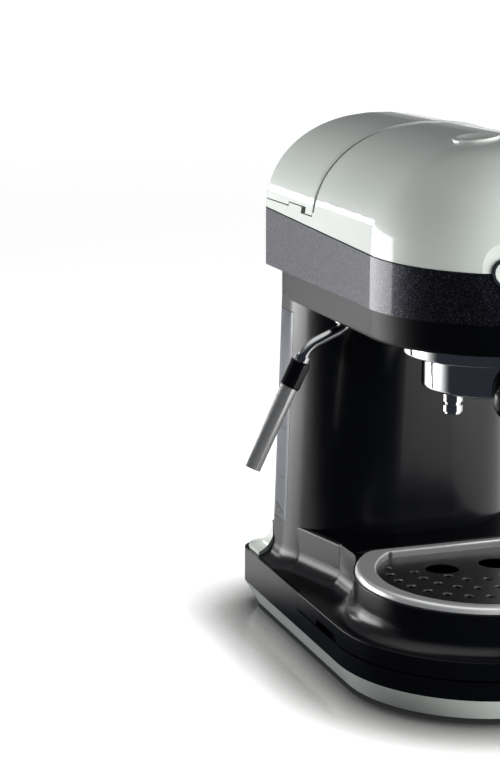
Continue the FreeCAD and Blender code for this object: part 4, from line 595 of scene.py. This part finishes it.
def block_piece(size, taper, edge):
    """A block on the XY plane whose top is smaller than its foot, with rounded edges."""
    deselect()
    bpy.ops.mesh.primitive_cube_add(size=1.0, location=(0, 0, 0))
    piece = bpy.context.object
    piece.scale = size
    bpy.ops.object.transform_apply(location=False, rotation=False, scale=True)
    for face in piece.data.polygons:
        face.select = face.normal.z > 0.5
    bpy.ops.object.mode_set(mode="EDIT")
    bpy.ops.mesh.select_mode(type="FACE")
    bpy.ops.transform.resize(value=(taper, taper, 1.0))
    bpy.ops.mesh.select_all(action="SELECT")
    bpy.ops.mesh.bevel(offset=edge, segments=ROUND_STEPS, affect="EDGES")
    bpy.ops.object.mode_set(mode="OBJECT")
    return piece


def set_down(piece, place, normal, lengthwise, sink):
    """Turn a piece's top along the normal and its X along a direction, and sink its foot."""
    along = (lengthwise - normal * lengthwise.dot(normal)).normalized()
    turn = Matrix((along, normal.cross(along), normal)).transposed().to_4x4()
    piece.matrix_world = Matrix.Translation(place - normal * sink) @ turn


# %% Dial pointers
POINTER = (0.0022, 0.0010, 0.0014)
POINTER_OUT = 0.0112
POINTER_TURN = math.radians(205.0)
ROUNDING = 0.0002
SINK = 0.0002
POINTER_TAPER = 0.7
ABOVE = Vector((0, 0, 0.05))


def dial_pointer(node):
    low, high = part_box(node)
    centre = (low + high) / 2
    out = Vector((math.cos(POINTER_TURN), math.sin(POINTER_TURN), 0.0))
    place, normal = meet(node, centre + out * POINTER_OUT + ABOVE, -ABOVE)
    piece = block_piece(POINTER, POINTER_TAPER, ROUNDING)
    set_down(piece, place, normal, out, SINK / 2)
    return settle(piece, node.replace("dial", "pointer"), trim, node)


for dial in ("steam_dial", "function_dial"):
    dial_pointer(dial)

# %% Level ribs and catches on the tank
RIB = (0.0090, 0.0009, 0.0010)
RIB_HEIGHTS = (0.085, 0.115, 0.145)
RIB_Y = 0.134
RIB_TAPER = 0.8
CATCH_Y = 0.137
CATCH_Z = 0.0645
CATCH_R = 0.0052
CATCH_THICK = 0.0010
CATCH_ROUNDING = 0.0003
CATCH_STRETCH = (1.0, 1.5, 1.0)
BACKWARD = Vector((0, 1, 0))
OUTSIDE = 0.2


def on_tank(piece, side, y, z, lengthwise):
    """Set a piece down on the left (-1) or right (1) side of the tank."""
    start = Vector((side * OUTSIDE, y, z))
    place, normal = meet("water_tank", start, Vector((-side, 0, 0)))
    set_down(piece, place, normal, lengthwise, SINK)


def side_name(side):
    return "left" if side < 0 else "right"


def level_rib(side, number, height):
    piece = block_piece(RIB, RIB_TAPER, ROUNDING)
    on_tank(piece, side, RIB_Y, height, BACKWARD)
    name = "level_rib_" + side_name(side) + "_" + str(number)
    return settle(piece, name, tank, "water_tank")


def tank_catch(side):
    """Three-sided black plate, flat side up, at the foot of the tank's window."""
    deselect()
    bpy.ops.mesh.primitive_cylinder_add(vertices=3, radius=CATCH_R, depth=CATCH_THICK,
                                        location=(0, 0, 0))
    piece = bpy.context.object
    piece.scale = CATCH_STRETCH
    bpy.ops.object.transform_apply(location=False, rotation=False, scale=True)
    bpy.ops.object.mode_set(mode="EDIT")
    bpy.ops.mesh.select_all(action="SELECT")
    bpy.ops.mesh.bevel(offset=CATCH_ROUNDING, segments=ROUND_STEPS, affect="EDGES")
    bpy.ops.object.mode_set(mode="OBJECT")
    on_tank(piece, side, CATCH_Y, CATCH_Z, Vector((0, 0, side)))
    return settle(piece, "tank_catch_" + side_name(side), body_black, "water_tank")


for side in (-1, 1):
    for number, height in enumerate(RIB_HEIGHTS, 1):
        level_rib(side, number, height)
    tank_catch(side)

# %% [markdown]
# ## The tank's pull
#
# The tank is drawn out to the back, so its rear wall carries a moulded pull: a rounded bar with
# a hollow under it for the fingers. A block is bevelled, and the hollow is made by insetting
# its underside and pushing that face up.

# %% Tank pull
PULL = (0.050, 0.016, 0.0090)
PULL_Z = 0.150
PULL_TAPER = 0.86
PULL_ROUNDING = 0.0022
PULL_WALL = 0.0012
FINGER_DEPTH = 0.0085
BEHIND = 0.4


def tank_pull():
    piece = block_piece(PULL, PULL_TAPER, PULL_ROUNDING)
    place, normal = meet("water_tank", Vector((0, BEHIND, PULL_Z)), -BACKWARD)
    set_down(piece, place, normal, Vector((1, 0, 0)), 0.0)
    make_active(piece)
    bpy.ops.object.transform_apply(location=True, rotation=True, scale=True)
    underside = min(piece.data.polygons, key=lambda face: face.normal.z * face.area)
    for face in piece.data.polygons:
        face.select = face.index == underside.index
    bpy.ops.object.mode_set(mode="EDIT")
    bpy.ops.mesh.select_mode(type="FACE")
    bpy.ops.mesh.inset(thickness=PULL_WALL)
    bpy.ops.transform.translate(value=(0, 0, FINGER_DEPTH))
    bpy.ops.object.mode_set(mode="OBJECT")
    piece.location.y = PULL[2] / 2 - SINK
    return settle(piece, "tank_pull", tank, "water_tank")


tank_pull()

# %% [markdown]
# ## The floor
#
# The machine stands on a glossy white table that fades into a white background. The shader
# adds light of its own for the camera and for mirrors, so that the far floor is plain white.
# Close under the machine a painted contact shadow darkens its colour and glow, and mirrors see
# it painted dark near the machine, for the real table's shade and its mirror image of the plinth.

# %% Where mirrors see the table painted dark
PAINTED_DARK_ROOM = (0.024, 0.028, 0.036)
PAINTED_DARK_FROM = (-27.0, -21.0)
PAINTED_DARK_TO = (95.0, 118.0)
PAINTED_SHADE_RING = (0.16, 0.27)


def painted_dark_share(finish):
    """1 where mirrors see the table painted dark: over the bearings of the studio's dark side, and
    in a painted shade close round the machine; else 0.
    """
    split = add_node(finish, "ShaderNodeSeparateXYZ")
    wire(finish, add_node(finish, "ShaderNodeTexCoord"), "Object", split, "Vector")
    left = calculate(finish, "MULTIPLY", split.outputs["X"], -1.0)
    front = calculate(finish, "MULTIPLY", split.outputs["Y"], -1.0)
    turn = calculate(finish, "DEGREES", calculate(finish, "ARCTAN2", left, front))
    inside = step_between(finish, turn, *PAINTED_DARK_FROM)
    beyond = step_between(finish, turn, *PAINTED_DARK_TO)
    sector = calculate(finish, "MULTIPLY", inside, calculate(finish, "SUBTRACT", 1.0, beyond))
    squares = calculate(finish, "ADD", calculate(finish, "MULTIPLY", left, left),
                        calculate(finish, "MULTIPLY", front, front))
    far = step_between(finish, calculate(finish, "SQRT", squares), *PAINTED_SHADE_RING)
    return calculate(finish, "MAXIMUM", sector, calculate(finish, "SUBTRACT", 1.0, far))


# %% The white table's finish
TABLE_WHITE = (0.70, 0.70, 0.695)
TABLE_PAINTED_SHADE = (0.22, 0.22, 0.215)
TABLE_PAINTED_CONTACT_SHADOW = (0.015, 0.015, 0.015)
TABLE_ROUGH = 0.16
TABLE_GLOW = 1.15
MIRROR_GLOW = 0.50
PAINTED_SHADOW_REACH = 0.050


def white_table():
    finish = finish_base("white_table", TABLE_WHITE, TABLE_ROUGH)
    # Painted contact shadow: ambient occlusion darkens the table's colour and its glow close round
    # the machine.
    painted_shadow_ao = add_node(finish, "ShaderNodeAmbientOcclusion", samples=12, Distance=PAINTED_SHADOW_REACH)
    ramp = colour_steps(finish, (0.48, TABLE_PAINTED_CONTACT_SHADOW), (0.80, TABLE_PAINTED_SHADE), (0.99, TABLE_WHITE))
    wire(finish, painted_shadow_ao, "AO", ramp, "Fac")
    wire(finish, ramp, "Color", shader_of(finish), "Base Color")
    wire(finish, ramp, "Color", shader_of(finish), "Emission Color")
    path = add_node(finish, "ShaderNodeLightPath")
    mirrored = path.outputs["Is Glossy Ray"]
    painted_dark_mirror = calculate(finish, "MULTIPLY", mirrored, painted_dark_share(finish))
    direct = calculate(finish, "MAXIMUM", path.outputs["Is Camera Ray"],
                       path.outputs["Is Transmission Ray"])
    seen = calculate(finish, "ADD", calculate(finish, "MULTIPLY", direct, TABLE_GLOW),
                     calculate(finish, "MULTIPLY", mirrored, MIRROR_GLOW))
    finish.node_tree.links.new(seen, shader_of(finish).inputs["Emission Strength"])
    # Painted dark reflection: the colour that mirrors see on the table where the share above is 1.
    dark = add_node(finish, "ShaderNodeEmission", Strength=1.0)
    dark.inputs["Color"].default_value = (*PAINTED_DARK_ROOM, 1)
    mix = add_node(finish, "ShaderNodeMixShader")
    finish.node_tree.links.new(painted_dark_mirror, mix.inputs["Fac"])
    wire(finish, shader_of(finish), "BSDF", mix, 1)
    wire(finish, dark, "Emission", mix, 2)
    wire(finish, mix, "Shader", finish.node_tree.nodes["Material Output"], "Surface")
    return finish


# %% Floor
FLOOR_HALF = 20.0
deselect()
bpy.ops.mesh.primitive_plane_add(size=2 * FLOOR_HALF, location=(0, 0, 0))
table = bpy.context.object
table.name = "table_top"
table.data.materials.append(white_table())
print("floor", 2 * FLOOR_HALF, "m wide")

# %% [markdown]
# ## The surroundings
#
# The camera sees plain white. Mirrors see a room that is white along the floor, dark above it
# and pale again at the ceiling, which gives every upper edge a highlight. Plain surfaces see
# that room dimmer, because the lamps do most of the lighting.

# %% World
ROOM_DIFFUSE = 0.36
ROOM_WHITE = (1.0, 1.0, 1.0)
ROOM_UP = (0.16, 0.165, 0.17)
ROOM_CEILING = (0.85, 0.86, 0.86)


def build_world():
    """A white room for the camera, and a graded one for mirrors and plain surfaces."""
    world = bpy.data.worlds.new("white_room")
    bpy.context.scene.world = world
    world.use_nodes = True
    split = add_node(world, "ShaderNodeSeparateXYZ")
    wire(world, add_node(world, "ShaderNodeTexCoord"), "Generated", split, "Vector")
    ramp = colour_steps(world, (0.0, ROOM_WHITE), (0.10, ROOM_UP), (0.62, ROOM_UP),
                        (0.88, ROOM_CEILING))
    wire(world, split, "Z", ramp, "Fac")
    path = add_node(world, "ShaderNodeLightPath")
    mirrored = calculate(world, "MAXIMUM", path.outputs["Is Glossy Ray"],
                         path.outputs["Is Transmission Ray"])
    level = spread(world, mirrored.node, "Value", ROOM_DIFFUSE, 1.0)
    room = add_node(world, "ShaderNodeBackground")
    wire(world, ramp, "Color", room, "Color")
    wire(world, level, "Result", room, "Strength")
    backdrop = world.node_tree.nodes["Background"]
    backdrop.inputs["Color"].default_value = (*ROOM_WHITE, 1)
    backdrop.inputs["Strength"].default_value = 1.0
    mix = add_node(world, "ShaderNodeMixShader")
    wire(world, path, "Is Camera Ray", mix, "Fac")
    wire(world, room, "Background", mix, 1)
    wire(world, backdrop, "Background", mix, 2)
    wire(world, mix, "Shader", world.node_tree.nodes["World Output"], "Surface")


build_world()
print("room light for plain surfaces", ROOM_DIFFUSE)

# %% [markdown]
# ## The lamps
#
# The photograph's highlights say where its lamps stood: a low softbox on the left, a little
# behind the machine, lights the dome's flank and the column's edge, and a narrow strip above
# it draws the white line along the foot of the dome. Bearings are in degrees from straight
# ahead of the machine, towards its left. Two wide fills, one on each side, light the pale
# plastic softly and are hidden from mirrors.

# %% Bearings
def bearing(degrees, distance, height):
    turn = math.radians(degrees)
    return Vector((-math.sin(turn) * distance, -math.cos(turn) * distance, height))


# %% Softboxes
AIM = Vector((0.0, 0.04, 0.15))
TILT = 0.4


def softbox(name, degrees, distance, height, width, tall, radiance, mirrored=True):
    """An area lamp whose power gives this radiance over its face."""
    data = bpy.data.lights.new(name, "AREA")
    data.shape = "RECTANGLE"
    data.size = width
    data.size_y = tall
    data.energy = radiance * width * tall * math.pi
    lamp = bpy.data.objects.new(name, data)
    bpy.context.scene.collection.objects.link(lamp)
    lamp.location = AIM + bearing(degrees, distance, height - AIM.z)
    direction = AIM - lamp.location
    direction.z *= TILT
    lamp.rotation_euler = direction.to_track_quat("-Z", "Y").to_euler()
    lamp.visible_camera = False
    lamp.visible_glossy = mirrored
    print(name, "at", [round(v, 2) for v in lamp.location], "power", round(data.energy, 1))
    return lamp


softbox("side_softbox", 134.0, 1.0, 0.15, 0.60, 0.27, 5.6)
softbox("dome_strip", 157.0, 1.0, 0.305, 0.22, 0.05, 7.0)
softbox("side_fill", 132.0, 1.1, 0.32, 0.70, 0.50, 10.5, mirrored=False)
softbox("front_fill", -38.0, 1.1, 0.27, 1.30, 0.50, 14.5, mirrored=False)

# %% [markdown]
# ## Black flags
#
# Glossy black looks black only because it mirrors something dark. On the camera's side the
# studio is dark, so one upright screen that only mirrors can see stands for it, bent round
# the machine's left front. The table is painted dark for mirrors over the same bearings.

# %% Flags
FLAG_FROM = -23
FLAG_TO = 106
FLAG_STEP = 6
FLAG_DISTANCE = 1.25
FLAG_HEIGHT = 0.9


def dark_cloth(name):
    cloth = finish_base(name, BLACK, 1.0)
    shader_of(cloth).inputs["Specular IOR Level"].default_value = 0.0
    shader_of(cloth).inputs["Emission Color"].default_value = (*PAINTED_DARK_ROOM, 1)
    shader_of(cloth).inputs["Emission Strength"].default_value = 1.0
    return cloth


def standing_flag(name):
    """An upright screen round the left front, which only mirrors can see."""
    points, faces = [], []
    for step, degrees in enumerate(range(FLAG_FROM, FLAG_TO + 1, FLAG_STEP)):
        for height in (0.0, FLAG_HEIGHT):
            points.append(bearing(degrees, FLAG_DISTANCE, height))
        if step:
            last = 2 * step
            faces.append((last - 2, last, last + 1, last - 1))
    mesh = bpy.data.meshes.new(name)
    mesh.from_pydata(points, [], faces)
    flag = bpy.data.objects.new(name, mesh)
    bpy.context.scene.collection.objects.link(flag)
    flag.data.materials.append(dark_cloth(name))
    flag.visible_camera = False
    flag.visible_diffuse = False
    flag.visible_shadow = False
    flag.visible_transmission = False
    print(name, "of", len(faces), "panels")


standing_flag("standing_flag")

# %% [markdown]
# ## Colour handling
#
# Colours are shown as they are written.

# %% Colour handling
bpy.context.scene.view_settings.view_transform = "Standard"
